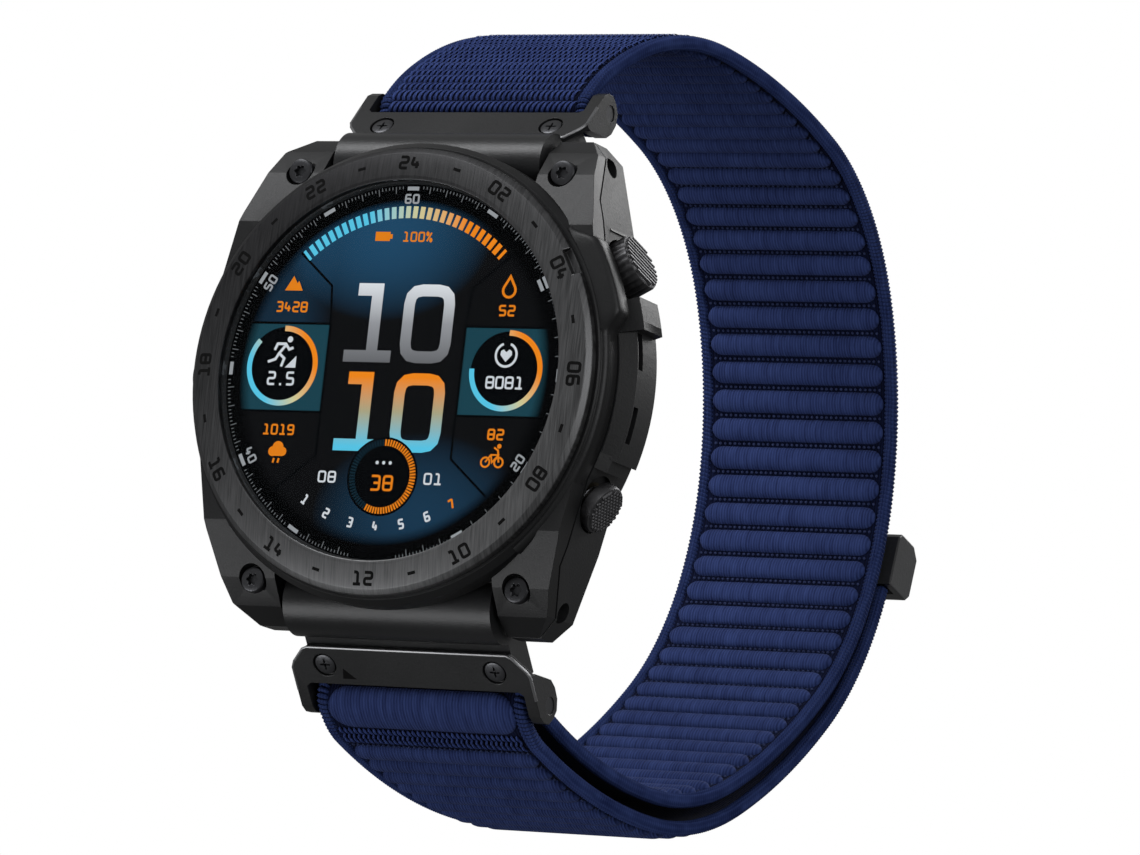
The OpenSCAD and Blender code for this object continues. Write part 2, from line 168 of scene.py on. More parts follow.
# %% Wires that can be added up
class Wire:
    """One output in a material's tree, which can be used in sums."""

    def __init__(self, tree, socket):
        self.tree, self.socket = tree, socket

    def sum(self, operation, *values, clamp=False):
        settings = {"operation": operation, "use_clamp": clamp}
        made = add_node(self.tree, "ShaderNodeMath", settings, dict(enumerate(values)))
        return Wire(self.tree, made.outputs[0])

    def __add__(self, other):
        return self.sum("ADD", self, other)

    def __sub__(self, other):
        return self.sum("SUBTRACT", self, other)

    def __rsub__(self, other):
        return self.sum("SUBTRACT", other, self)

    def __mul__(self, other):
        return self.sum("MULTIPLY", self, other)

    def __truediv__(self, other):
        return self.sum("DIVIDE", self, other)

    def __pow__(self, other):
        return self.sum("POWER", self, other)

    def wave(self, pitch):
        """A smooth wave from 0 to 1 that repeats every pitch metres."""
        return self.sum("SINE", self * (2 * math.pi / pitch)) * 0.5 + 0.5

    def ease(self, low, high):
        """0 below low, 1 above high, and a straight line between."""
        return self.sum("ADD", (self - low) / (high - low), 0.0, clamp=True)


print("a wire's own sums:", [name for name in vars(Wire) if name[0] != "_"])

# %% [markdown]
# ## A finish
# Each finish is one Principled material. What is the same all over is set on its sockets, and
# only colour, roughness and relief get patterns. Patterns read Object coordinates, which are
# metres in the frame, so grain and yarn have their real size on every piece.

# %% Finish
class Finish:
    """A material under construction."""

    def __init__(self, name, colour, roughness, metallic=0.0, **others):
        self.material = bpy.data.materials.new(name)
        self.material.use_nodes = True
        self.tree = self.material.node_tree
        self.shader = self.tree.nodes["Principled BSDF"]
        values = {"Base Color": (*colour, 1), "Roughness": roughness, "Metallic": metallic}
        values.update({key.replace("_", " "): value for key, value in others.items()})
        for key, value in values.items():
            self.shader.inputs[key].default_value = value

    def node(self, kind, settings=None, inputs=None, out=0):
        return Wire(self.tree, add_node(self.tree, kind, settings, inputs).outputs[out])

    def place(self):
        """Object coordinates as one vector and as x, y and z."""
        spot = self.node("ShaderNodeTexCoord", out="Object")
        split = add_node(self.tree, "ShaderNodeSeparateXYZ", None, {0: spot})
        return [spot, *(Wire(self.tree, output) for output in split.outputs)]

    def noise(self, fineness, detail=2.0, stretch=(1, 1, 1)):
        """Noise with about one blot every 1 / fineness metres, longer where stretch is small."""
        spot = self.node("ShaderNodeTexCoord", out="Object")
        placed = self.node("ShaderNodeMapping", None, {"Vector": spot, "Scale": stretch})
        return self.node("ShaderNodeTexNoise", None,
                         {"Vector": placed, "Scale": fineness, "Detail": detail})

    def mix(self, factor, first, second):
        """A colour between two colours."""
        return self.node("ShaderNodeMix", {"data_type": "RGBA"}, {0: factor, 6: first, 7: second}, 2)

    def feed(self, socket, wire):
        self.tree.links.new(wire.socket, self.shader.inputs[socket])
        return self

    def relief(self, height, depth):
        """Bumps of a height from 0 to 1, depth metres deep."""
        bump = self.node("ShaderNodeBump", None, {"Height": height, "Distance": depth, "Strength": 1.0})
        return self.feed("Normal", bump)


print("what a finish can do:", [name for name in vars(Finish) if name[0] != "_"])

# %% [markdown]
# ## Nylon yarn
# The band is woven from navy nylon. On the ribs the yarns run along the band, about three to the millimetre,
# and catch the light as fine broken lines. The ground between the ribs gets a much darker navy, which is
# painted shade for the grooves.

# %% Nylon finishes
YARN_PITCH = 0.36 * MM


def nylon(name, dark, light, relief_depth=0.10 * MM):
    finish = Finish(name, light, 0.85, 0.0, Sheen_Weight=0.02, Specular_IOR_Level=0.06)
    _, x, _, _ = finish.place()
    uneven = finish.noise(260, 3.0)
    streak = finish.noise(420, 2.0, (6.0, 0.7, 0.7))
    yarn = (x + (uneven - 0.5) * (0.3 * MM)).wave(YARN_PITCH)
    shade = (yarn * 0.35 + streak * 0.75 + uneven * 0.35 - 0.2).ease(0.15, 0.95)
    finish.feed("Base Color", finish.mix(shade, dark, light))
    return finish.relief(yarn * 0.6 + streak * 0.8, relief_depth).material


RIB_YARN = nylon("rib_yarn", (0.009, 0.015, 0.060), (0.037, 0.060, 0.185))
CORD_YARN = nylon("cord_yarn", (0.007, 0.013, 0.055), (0.030, 0.050, 0.155), 0.04 * MM)
PILE_YARN = nylon("pile_yarn", (0.012, 0.021, 0.090), (0.048, 0.078, 0.240), 0.03 * MM)
# The ground's dark colour is painted shade for the grooves between ribs and loops and between the edge
# wraps.
GROUND_CLOTH_PAINTED_SHADE = nylon("ground_cloth_painted_shade", (0.0008, 0.0014, 0.008), (0.004, 0.008, 0.035))
GROOVE_YARN = nylon("groove_yarn", (0.010, 0.015, 0.05), (0.04, 0.055, 0.13), 0.02 * MM)
HOOK_CLOTH = nylon("hook_cloth", (0.004, 0.006, 0.024), (0.014, 0.02, 0.07))
print("nylons, with yarns", round(YARN_PITCH / MM, 2), "mm apart")

# %% [markdown]
# ## Coated and moulded black parts
# Coated metal is satin with a very fine grain, and moulded polymer is duller with a slight
# texture. Both get a little paler where hands rub them, which a broad noise stands in for.

# %% Coated and brushed finishes
def coating(name, colour, roughness, metallic, grain, depth, **others):
    finish = Finish(name, colour, roughness, metallic, **others)
    broad = finish.noise(90, 4.0)
    fine = finish.noise(grain, 2.0)
    worn = tuple(channel * 1.45 + 0.004 for channel in colour)
    finish.feed("Base Color", finish.mix((broad * 0.8 + fine * 0.4 - 0.1).ease(0.2, 0.8), colour, worn))
    finish.feed("Roughness", (broad - 0.5) * 0.12 + (fine - 0.5) * 0.16 + roughness)
    return finish.relief(fine, depth).material


def brushed(name, colour, roughness, stretch, depth):
    finish = Finish(name, colour, roughness, 1.0)
    lines = finish.noise(700, 4.0, stretch)
    broad = finish.noise(60, 2.0)
    pale = tuple(channel * 2.0 for channel in colour)
    finish.feed("Base Color", finish.mix((lines * 1.1 + broad * 0.5 - 0.35).ease(0, 1), colour, pale))
    finish.feed("Roughness", (lines - 0.5) * 0.35 + roughness)
    return finish.relief(lines, depth).material


print("made the helpers", coating.__name__, "and", brushed.__name__)

# %% [markdown]
# ## Bezel
# The bezel is brushed up and down, so its lines are long in Z. Light grazes its lower right,
# which therefore looks paler: a straight fade over the ring does that.

# %% Bezel finish
BEZEL_ROUGHNESS = 0.46


def bezel_brushing():
    """Brushed up and down, and paler towards the lower right where light grazes it."""
    finish = Finish("bezel_metal", (0.05, 0.05, 0.05), BEZEL_ROUGHNESS, 1.0)
    _, x, _, z = finish.place()
    lines = finish.noise(700, 4.0, (9.0, 1.0, 0.35))
    lower = (x * 0.7 - z).ease(-26 * MM, 30 * MM)
    dark = finish.mix(lower, (0.016, 0.016, 0.017), (0.060, 0.061, 0.063))
    pale = finish.mix(lower, (0.034, 0.034, 0.036), (0.150, 0.152, 0.156))
    finish.feed("Base Color", finish.mix((lines * 1.5 - 0.25).ease(0, 1), dark, pale))
    finish.feed("Roughness", (lines - 0.5) * 0.35 + BEZEL_ROUGHNESS)
    return finish.relief(lines, 0.01 * MM).material


bezel_metal = bezel_brushing()
print("made the finish", bezel_metal.name)

# %% [markdown]
# ## Table of finishes
# One line for each kind of part. A coating takes its colour, roughness, how metallic it is, how
# fine its grain is and the grain's depth. A brushed metal takes the stretch of its lines.

# %% Finishes by name
MATERIALS = {
    "frame_coating": coating("frame_coating", (0.0085, 0.0088, 0.0095), 0.45, 0.60, 5200, 0.012 * MM),
    "case_polymer": coating("case_polymer", (0.0045, 0.0048, 0.0055), 0.50, 0.0, 3800, 0.016 * MM,
                             Specular_IOR_Level=0.35),
    "bezel_metal": bezel_metal,
    "screw_steel": coating("screw_steel", (0.045, 0.046, 0.05), 0.34, 0.9, 5000, 0.008 * MM),
    "button_metal": brushed("button_metal", (0.06, 0.06, 0.063), 0.48, (2.0, 2.0, 2.0), 0.008 * MM),
    "link_coating": coating("link_coating", (0.013, 0.0135, 0.0145), 0.38, 0.5, 4600, 0.014 * MM),
    "bare_steel": brushed("bare_steel", (0.30, 0.31, 0.32), 0.30, (0.4, 4.0, 4.0), 0.006 * MM),
    "bush_brass": brushed("bush_brass", (0.05, 0.042, 0.028), 0.45, (1.0, 4.0, 4.0), 0.006 * MM),
    "gold_contact": coating("gold_contact", (0.75, 0.52, 0.20), 0.22, 1.0, 3000, 0.004 * MM),
    "sensor_glass": coating("sensor_glass", (0.006, 0.006, 0.007), 0.10, 0.0, 1500, 0.001 * MM,
                            Coat_Weight=0.6),
    "scale_black": coating("scale_black", (0.0015, 0.0015, 0.0018), 0.7, 0.0, 3000, 0.001 * MM,
                            Specular_IOR_Level=0.1),
    "inner_polymer": coating("inner_polymer", (0.035, 0.038, 0.042), 0.6, 0.0, 3000, 0.01 * MM),
    "board_green": coating("board_green", (0.006, 0.06, 0.03), 0.4, 0.0, 1800, 0.01 * MM),
    "cell_foil": brushed("cell_foil", (0.25, 0.26, 0.27), 0.35, (1.0, 1.0, 1.0), 0.01 * MM),
    "black_rubber": coating("black_rubber", (0.008, 0.008, 0.008), 0.75, 0.0, 2500, 0.012 * MM),
    "tab_polymer": coating("tab_polymer", (0.010, 0.0105, 0.012), 0.40, 0.0, 3000, 0.014 * MM),
    "band_nylon": RIB_YARN,
    "hook_nylon": HOOK_CLOTH,
}
print("finishes:", len(MATERIALS))

# %% [markdown]
# ## Cover glass
# The glass is seen through, and mostly shows as a soft reflection at the rim. A transparent
# shader mixed with a glossy one by Fresnel does that without bending rays, so the dial stays
# sharp and quick to render.

# %% Cover glass finish
def clear_glass(name, ior, roughness):
    finish = Finish(name, (0.9, 0.95, 1.0), roughness)
    edge = finish.node("ShaderNodeFresnel", None, {"IOR": ior})
    clear = finish.node("ShaderNodeBsdfTransparent", None, {"Color": (0.96, 0.98, 1.0)})
    gloss = finish.node("ShaderNodeBsdfGlossy", None, {"Color": (0.9, 0.95, 1.0), "Roughness": roughness})
    mixed = finish.node("ShaderNodeMixShader", None, {0: edge * 0.10, 1: clear, 2: gloss})
    finish.tree.links.new(mixed.socket, finish.tree.nodes["Material Output"].inputs["Surface"])
    return finish.material


MATERIALS["cover_glass"] = clear_glass("cover_glass", ior=1.45, roughness=0.05)
print("finishes, with the glass:", len(MATERIALS))

# %% [markdown]
# ## Finishes on the CAD nodes
# The record names a material slot for each node's group. The same slot names are used here, so
# each node takes the finish of the thing that it is.

# %% Dress the CAD nodes
SLOTS = {
    "frame_coating": ["top_frame"],
    "case_polymer": ["mid_case", "back_cover", "side_guard", "left_guard"],
    "bezel_metal": ["bezel_ring"],
    "screw_steel": ["bezel_screws", "back_screws", "link_screws_upper", "link_screws_lower",
                    "strap_bar_upper", "strap_bar_lower"],
    "button_metal": [n for n in NODES if n.startswith("button_") and n.count("_") == 1],
    "link_coating": ["link_body_upper", "link_body_lower", "link_plate_upper", "link_plate_lower"],
    "bare_steel": ["vibration_motor", "speaker_unit", "button_switches"] + [
        n for n in NODES if n.startswith(("spring_", "lug_pin", "latch"))],
    "bush_brass": ["button_bushes"],
    "gold_contact": ["charge_contacts"],
    "cover_glass": ["lens"],
    "sensor_glass": ["sensor_window"],
    "scale_black": ["scale_ring"],
    "inner_polymer": ["chassis", "display_panel"],
    "board_green": ["main_board", "sensor_board"],
    "cell_foil": ["battery_cell"],
    "black_rubber": ["case_gasket", "lens_gasket", "back_gasket", "button_seals"],
    "tab_polymer": ["end_tab"],
    "band_nylon": [n for n in NODES if n.startswith("band_")],
    "hook_nylon": ["hook_patch"],
}
for slot_name, members in SLOTS.items():
    for member in members:
        for place in NODES[member].material_slots:
            place.material = MATERIALS[slot_name]
undressed = set(NODES) - {n for members in SLOTS.values() for n in members}
print("nodes without a finish:", sorted(undressed))

# %% [markdown]
# ## Shapes drawn from rings
# Nearly every piece here is a row of rings joined up: a strip of cloth, a cord, a screw head, a
# numeral's stroke. This class collects such tubes and closes their ends, and turns all faces
# outwards once at the end.

# %% Shape
class Shape:
    """Closed tubes in millimetres about the dial centre, or about a template's own origin."""

    def __init__(self):
        self.points, self.faces = [], []

    def sweep(self, rings, loop=False):
        """Joins rings of equal size into a tube with closed ends, or into a closed loop."""
        first, size, count = len(self.points), len(rings[0]), len(rings)
        for ring in rings:
            self.points.extend(ring)
        for i in range(count if loop else count - 1):
            here, there = first + i * size, first + (i + 1) % count * size
            for k in range(size):
                beside = (k + 1) % size
                self.faces.append((here + k, here + beside, there + beside, there + k))
        if not loop:
            self.faces.append(tuple(range(first, first + size)))
            self.faces.append(tuple(range(first + (count - 1) * size, first + count * size)))
        return self

    def piece(self, name, material, origin=DIAL, sharp=40):
        """The shape as an object, smooth except where it turns by more than the sharp angle."""
        mesh = bpy.data.meshes.new(name)
        mesh.from_pydata([(Vector(p) + origin) * MM for p in self.points], [], self.faces)
        solid = bmesh.new()
        solid.from_mesh(mesh)
        bmesh.ops.recalc_face_normals(solid, faces=solid.faces)
        for face in solid.faces:
            face.smooth = True
        for edge in solid.edges:
            edge.smooth = edge.calc_face_angle(math.pi) < math.radians(sharp)
        solid.to_mesh(mesh)
        solid.free()
        mesh.materials.append(material)
        print(name, len(self.faces), "faces")
        return in_scene(name, mesh)


print("what a shape can do:", [name for name in vars(Shape) if name[0] != "_"])

# %% [markdown]
# ## Circles and even steps
# Shapes are drawn from a few kinds of numbers: points on a circle, evenly spaced stations, and a
# point at a radius and an angle. Each kind gets one helper.

# %% Circles and even steps
def round_section(radius, sides, centre=(0, 0)):
    """Points on a circle, as pairs."""
    angles = [2 * math.pi * k / sides for k in range(sides)]
    return [(centre[0] + radius * math.cos(a), centre[1] + radius * math.sin(a)) for a in angles]


def spaced(start, end, pitch):
    """Numbers from start to end, evenly spaced and no further apart than the pitch."""
    count = max(1, math.ceil(abs(end - start) / pitch - 1e-9))
    return [start + (end - start) * i / count for i in range(count + 1)]


def polar(radius, degrees):
    """The point at a radius and an angle, counted from 3 o'clock upwards."""
    a = math.radians(degrees)
    return radius * math.cos(a), radius * math.sin(a)


print("0 to 2 in steps of 0.6 at most:", spaced(0, 2, 0.6))

# %% [markdown]
# ## Repeating a template along a path
# Ribs, yarn loops, edge wraps and groove stitches all do the same thing: one small shape, again
# and again along the band. One Geometry Nodes tree does it for all of them. It resamples a
# path by length, puts the template on each point, turned to follow the path, varies its size
# slightly and makes the copies real, because instances aren't exported.

# %% Geometry tree for repeats
def repeat_tree():
    tree = bpy.data.node_groups.new("repeat_along_path", "GeometryNodeTree")
    for name, kind in (("Path", "Geometry"), ("Template", "Object"), ("Pitch", "Float"),
                       ("Unevenness", "Float"), ("Material", "Material")):
        tree.interface.new_socket(name, in_out="INPUT", socket_type="NodeSocket" + kind)
    tree.interface.new_socket("Pieces", in_out="OUTPUT", socket_type="NodeSocketGeometry")
    given = tree.nodes.new("NodeGroupInput").outputs
    line = add_node(tree, "GeometryNodeMeshToCurve", None, {0: given["Path"]}).outputs[0]
    stops = add_node(tree, "GeometryNodeResampleCurve", {"mode": "LENGTH"},
                     {"Curve": line, "Length": given["Pitch"]}).outputs[0]
    along = add_node(tree, "GeometryNodeInputTangent").outputs[0]
    facing = add_node(tree, "FunctionNodeAlignRotationToVector", {"axis": "Y", "pivot_axis": "X"},
                      {"Vector": along}).outputs[0]
    shape = add_node(tree, "GeometryNodeObjectInfo", None, {"Object": given["Template"]})
    least = add_node(tree, "ShaderNodeMath", {"operation": "SUBTRACT"},
                     {0: 1.0, 1: given["Unevenness"]}).outputs[0]
    size = add_node(tree, "FunctionNodeRandomValue", {"data_type": "FLOAT"},
                    {2: least, 3: 1.0, "Seed": 7}).outputs[1]
    full = add_node(tree, "ShaderNodeCombineXYZ", None, {0: 1.0, 1: size, 2: size}).outputs[0]
    copies = add_node(tree, "GeometryNodeInstanceOnPoints", None,
                      {"Points": stops, "Instance": shape.outputs["Geometry"], "Rotation": facing,
                       "Scale": full}).outputs[0]
    real = add_node(tree, "GeometryNodeRealizeInstances", None, {0: copies}).outputs[0]
    done = add_node(tree, "GeometryNodeSetMaterial", None,
                    {"Geometry": real, "Material": given["Material"]}).outputs[0]
    add_node(tree, "NodeGroupOutput", None, {0: done})
    return tree


REPEAT = repeat_tree()
KEYS = {item.name: item.identifier for item in REPEAT.interface.items_tree if item.in_out == "INPUT"}
print(REPEAT.name, "has", len(REPEAT.nodes), "nodes")

# %% [markdown]
# ## From tree to mesh
# The tree runs as a modifier on the path. Its result is then made into the piece's own plain
# mesh, so that nothing is left to work out later.

# %% Repeat and bake
def bake(piece):
    """Turns what a piece's modifiers make into its own plain mesh."""
    seen = piece.evaluated_get(bpy.context.evaluated_depsgraph_get())
    mesh = bpy.data.meshes.new_from_object(seen)
    piece.modifiers.clear()
    piece.data = mesh
    return piece


def repeat(name, path, template, pitch, material, unevenness=0.0):
    """Copies of a template Shape along a path of points, as one baked piece."""
    sample = template.piece("template", material, origin=Vector((0, 0, 0)))
    mesh = bpy.data.meshes.new(name)
    steps = [(i, i + 1) for i in range(len(path) - 1)]
    mesh.from_pydata([(Vector(p) + DIAL) * MM for p in path], steps, [])
    made = in_scene(name, mesh)
    modifier = made.modifiers.new("repeat", "NODES")
    modifier.node_group = REPEAT
    modifier[KEYS["Template"]] = sample
    modifier[KEYS["Pitch"]] = pitch * MM
    modifier[KEYS["Unevenness"]] = unevenness
    modifier[KEYS["Material"]] = material
    bake(made)
    bpy.data.objects.remove(sample)
    print(name, len(made.data.polygons), "faces")
    return made


print("made the helpers", bake.__name__, "and", repeat.__name__)

# %% [markdown]
# ## The line of the band
# Seen from the side the band is a run of arcs: it leaves the upper bar, goes round the wrist,
# folds over the lower bar and comes back outside itself to its black end tab. A run starts from
# a depth, a height and a heading, and each arc has a radius and a turn in degrees. Positive
# arcs turn right and negative ones turn left. The outside of the main layer is on its left.

# %% Runs of arcs
def step(state, arc):
    y, z, heading = state
    radius, turned = arc
    before, after = math.radians(heading), math.radians(heading - turned)
    return (y + radius * (math.sin(before) - math.sin(after)),
            z + radius * (math.cos(after) - math.cos(before)), heading - turned)


def walk(state, arcs):
    for arc in arcs:
        state = step(state, arc)
    return state


class Run:
    """A line of arcs with its length in millimetres."""

    def __init__(self, start, arcs):
        self.start, self.arcs = start, arcs
        self.length = sum(abs(r * t) for r, t in arcs) * math.pi / 180

    def at(self, distance):
        state = self.start
        for radius, turned in self.arcs:
            arc = abs(radius * turned) * math.pi / 180
            if distance <= arc:
                break
            distance -= arc
            state = step(state, (radius, turned))
        else:
            return state
        return step(state, (radius, turned * distance / arc))

    def spot(self, distance, x, out):
        """The point beside the line: x across and out to its left."""
        y, z, heading = self.at(distance)
        angle = math.radians(heading)
        return (x, y - out * math.sin(angle), z + out * math.cos(angle))

    def path(self, start, end, x=0.0, out=0.0):
        return [self.spot(s, x, out) for s in spaced(start, end, 0.5)]


def meet(state, turn1, turn2, target):
    """Two arcs with these turns that lead from a state to a point."""
    a0, a1, a2 = (math.radians(state[2] - t) for t in (0, turn1, turn1 + turn2))
    a, b = math.sin(a0) - math.sin(a1), math.sin(a1) - math.sin(a2)
    c, d = math.cos(a1) - math.cos(a0), math.cos(a2) - math.cos(a1)
    u, v, det = target[0] - state[0], target[1] - state[1], a * d - b * c
    return [((u * d - b * v) / det, turn1), ((a * v - c * u) / det, turn2)]


print("a quarter turn of radius 10 ends at", [round(v, 2) for v in step((0, 0, 0), (10, 90))])

# %% [markdown]
# ## Runs of the band
# The bars are fixed by the packed links, so their centres are read from the frame and the runs
# start and end on them. The cloth's middle line passes 1.75 mm from a bar's centre, and the tail
# lies 3.1 mm outside the layer under it. Two arcs worked out at the end make each run meet.

# %% Runs of the band
LINK_TILT = 40
FOLD = 1.75
LAYER_PITCH = 3.1
ROUND_WRIST = [(24.3, 15), (47.6, 35), (110, 15), (32.6, 46), (43, 29), (35.9, 50), (90, 15), (45, 25)]
REAR = 5
TAB_TURN, TIP_TURN = 14, 22


def bar_centre(node):
    low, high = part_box(node)
    middle = (low + high) / 2 / MM - DIAL
    return middle.y, middle.z


def beside_bar(centre, heading, out):
    angle = math.radians(heading)
    return (centre[0] - out * math.sin(angle), centre[1] + out * math.cos(angle), heading)


leave = 90 - LINK_TILT
upper_bar, lower_bar = bar_centre("strap_bar_upper"), bar_centre("strap_bar_lower")
main_start = beside_bar(upper_bar, leave, FOLD)
main_end = beside_bar(lower_bar, -180 - leave, -FOLD)
belly = walk(main_start, ROUND_WRIST)
main_arcs = ROUND_WRIST + meet(belly, 20, leave - 20, main_end)

rear_state = step(walk(main_start, main_arcs[:REAR]), (main_arcs[REAR][0], TAB_TURN))
tip_start = beside_bar(rear_state[:2], rear_state[2], LAYER_PITCH)
wider = [(radius + LAYER_PITCH, turned) for radius, turned in main_arcs]
tip_arc = (wider[REAR][0], TIP_TURN)
tail_arcs = [(wider[REAR][0], wider[REAR][1] - TIP_TURN - TAB_TURN), wider[REAR + 1], wider[REAR + 2]]
tail_end = walk(tip_start, [tip_arc, *tail_arcs])
lead = meet(tail_end, 18, leave - 18, beside_bar(lower_bar, -180 - leave, FOLD))

first_bend = walk(main_start, main_arcs[:1])
under = beside_bar(first_bend[:2], first_bend[2], -2 * FOLD)
upper_run = Run((under[0], under[1], under[2] - 180),
                [(2 * FOLD - main_arcs[0][0], -main_arcs[0][1]), (FOLD, 180), main_arcs[0]])
main_run = Run(first_bend, main_arcs[1:-1])
lower_run = Run(walk(main_start, main_arcs[:-1]),
                [main_arcs[-1], (-FOLD, -180), (-lead[1][0], -lead[1][1])])
tail_run = Run(step(tip_start, tip_arc), [*tail_arcs, lead[0]])
tip_run = Run(tip_start, [tip_arc])
for label, run in (("upper", upper_run), ("main", main_run), ("lower", lower_run),
                   ("tail", tail_run), ("tip", tip_run)):
    print(label, "run:", round(run.length, 1), "mm")

# %% [markdown]
# ## Templates for the weave
# A rib is a long cushion of yarn with round ends. Between two ribs runs a row of small knots.
# The edge of the band is a cord wrapped in yarn, and the outside is a pile of slanted loops
# that the hooks of the tail catch. Each template is a few dozen faces, because it is repeated
# many times. Templates have X across the band, Y along it and Z towards its outside.

# %% Weave templates
RIB_PITCH, PILE_PITCH, WRAP_PITCH = 3.4, 1.45, 0.5
RIB_HALF_LENGTH = 11.35
RIB_HALF_WIDTH = 1.40
GROUND_HALF = 0.42
GROUND_WIDE = 12.0
CORD_X = 12.2
CORD_R = 0.84
OUT, IN = 1, -1


def cushion(half_length, half_width, height, side):
    """A rib: flat underneath, round on top and at both ends."""
    angles = [math.radians(a) for a in (82, 66, 50, 34, 17, 0)]
    ends = [(-half_length + half_width * (1 - math.sin(a)), math.cos(a)) for a in angles]
    stations = ends + [(-x, k) for x, k in reversed(ends)]
    rings = []
    for x, k in stations:
        arch = [(half_width * k * math.cos(math.radians(a)),
                 GROUND_HALF - 0.1 + height * k ** 0.5 * math.sin(math.radians(a)) ** 0.9)
                for a in range(0, 181, 15)]
        foot = [(-half_width * k, 0.1), (half_width * k, 0.1)]
        rings.append([(x, y, side * z) for y, z in arch + foot])
    return rings


def ball(x, y, z, radius):
    """A small yarn knot of three rings."""
    return [[(x + radius * shift, y + a, z + b) for a, b in round_section(radius * wide, 6)]
            for shift, wide in ((-0.8, 0.55), (0, 1.0), (0.8, 0.55))]


def rib_template(side, height=1.05):
    return Shape().sweep(cushion(RIB_HALF_LENGTH, RIB_HALF_WIDTH, height, side))


def knot_template(side):
    shape = Shape()
    for x in spaced(-10.9, 10.9, 0.66):
        shape.sweep(ball(x, 0, side * (GROUND_HALF + 0.10), 0.19))
    return shape


print("faces of a rib:", len(rib_template(OUT).faces))

# %% [markdown]
# ## Edge yarn and loops
# One turn of yarn goes round each edge cord and leans along the band, as a wrapped yarn does.
# The loops lean too, and are longer than their pitch, so the rows lie over each other.

# %% Wraps and loops
def wrap_template():
    """One turn of yarn round each edge cord, leaning along the band."""
    shape = Shape()
    for edge in (-CORD_X, CORD_X):
        rings = []
        for k in range(10):
            a = 2 * math.pi * k / 10
            rings.append([(edge + (CORD_R - 0.22 + u) * math.cos(a), v + 0.16 * math.cos(a - 0.8),
                           (CORD_R - 0.22 + u) * math.sin(a)) for u, v in round_section(0.25, 5)])
        shape.sweep(rings, loop=True)
    return shape


def pile_template(side, spacing=0.66, reach=0.78, height=0.70, lean=0.36):
    """A row of slanted loops of yarn standing on the cloth."""
    shape = Shape()
    for x in spaced(-11.2, 11.2, spacing):
        rings = []
        for a in (0, 40, 75, 105, 140, 180):
            angle = math.radians(a)
            centre = (x - lean * math.cos(angle), -reach * math.cos(angle),
                      GROUND_HALF - 0.08 + height * math.sin(angle))
            rings.append([(centre[0] + u, centre[1] + v * math.sin(angle),
                           side * (centre[2] + v * math.cos(angle))) for u, v in round_section(0.18, 4)])
        shape.sweep(rings)
    return shape


print("faces of a row of loops:", len(pile_template(OUT).faces))

# %% [markdown]
# ## Weaving a run
# A run of cloth is dressed with its pieces: the ground, whose dark colour is painted shade, the two edge
# cords with their wraps, ribs with knots between them on one side and loops on the other. Each piece is then
# handed to the function given for its run, which gives the pieces of the main layer and the tail to the
# watch head and leaves the others without a body.

# %% Weave one run
def strip(run, start, end, outline, pitch=0.8):
    """Rings of an outline of (across, out) pairs along a run."""
    return [[run.spot(s, x, out) for x, out in outline] for s in spaced(start, end, pitch)]


def ground(run, name, half=GROUND_HALF):
    soft = 0.15
    outline = [(-GROUND_WIDE, -half + soft), (-GROUND_WIDE, half - soft), (-GROUND_WIDE + soft, half),
               (GROUND_WIDE - soft, half), (GROUND_WIDE, half - soft), (GROUND_WIDE, -half + soft),
               (GROUND_WIDE - soft, -half), (-GROUND_WIDE + soft, -half)]
    # The ground is painted shade: its dark colour stands for the shade in the grooves.
    return Shape().sweep(strip(run, 0, run.length, outline)).piece(name, GROUND_CLOTH_PAINTED_SHADE)


def weave(name, run, attach, node, rib=None, pile=None):
    """Makes the pieces of one run. rib and pile are (side, start, end) along the run."""
    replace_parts(attach(ground(run, name + "_ground")), node)
    cords = Shape()
    for edge in (-CORD_X, CORD_X):
        section = [(edge + u, v) for u, v in round_section(CORD_R - 0.22, 10)]
        cords.sweep(strip(run, 0, run.length, section))
    # The cord cores take the ground's dark colour, painted shade between the wraps.
    attach(cords.piece(name + "_cords", GROUND_CLOTH_PAINTED_SHADE))
    along = run.path(0.2, run.length - 0.2)
    attach(repeat(name + "_wraps", along, wrap_template(), WRAP_PITCH, CORD_YARN))
    if rib:
        side, start, end = rib
        count = max(1, round((end - start) / RIB_PITCH))
        pitch = (end - start) / count
        if count > 1:
            middles = run.path(start + pitch / 2, end - pitch / 2)
            attach(repeat(name + "_ribs", middles, rib_template(side), pitch, RIB_YARN, 0.05))
        attach(repeat(name + "_knots", run.path(start, end), knot_template(side), pitch, GROOVE_YARN))
    if pile:
        side, start, end = pile
        loops = pile_template(side)
        attach(repeat(name + "_pile", run.path(start, end), loops, PILE_PITCH, PILE_YARN, 0.12))


print("cloth:", 2 * GROUND_WIDE, "mm wide and", 2 * GROUND_HALF, "mm thick before its ribs")

# %% [markdown]
# ## Who carries which run
# The loop round the wrist moves with the watch head. The folds over the two bars and the end of the tail,
# which peels away, are given no body: their functions only make each piece's placement part of its mesh.

# %% Attach the runs
def on_head(piece):
    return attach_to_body(piece, "watch_head")


def in_frame(state):
    """A state of a run as a point of the frame, in metres."""
    return (Vector((0, state[0], state[1])) + DIAL) * MM


def bends_to(run, bar):
    near = (in_frame(run.at(0)) + in_frame(run.at(run.length))) / 2
    far = in_frame(bar)

    def attach(piece):
        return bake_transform(piece)
    return attach


PEEL_BEND = 7.0


def peels(piece):
    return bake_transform(piece, "watch_head", "tail_end", start=in_frame(tip_run.at(tip_run.length)),
                    end=in_frame(tip_run.at(tip_run.length - PEEL_BEND)))


bends_up = bends_to(upper_run, upper_bar)
bends_low = bends_to(lower_run, lower_bar)
print("the tip bends over", PEEL_BEND, "mm")

# %% [markdown]
# ## The five runs
# The ribs are on the wrist's side of the main layer and on the outside of the tail. The loops
# cover the outside as far as the tail's hooks can reach. Each ground stands in for the plain
# band of the model.

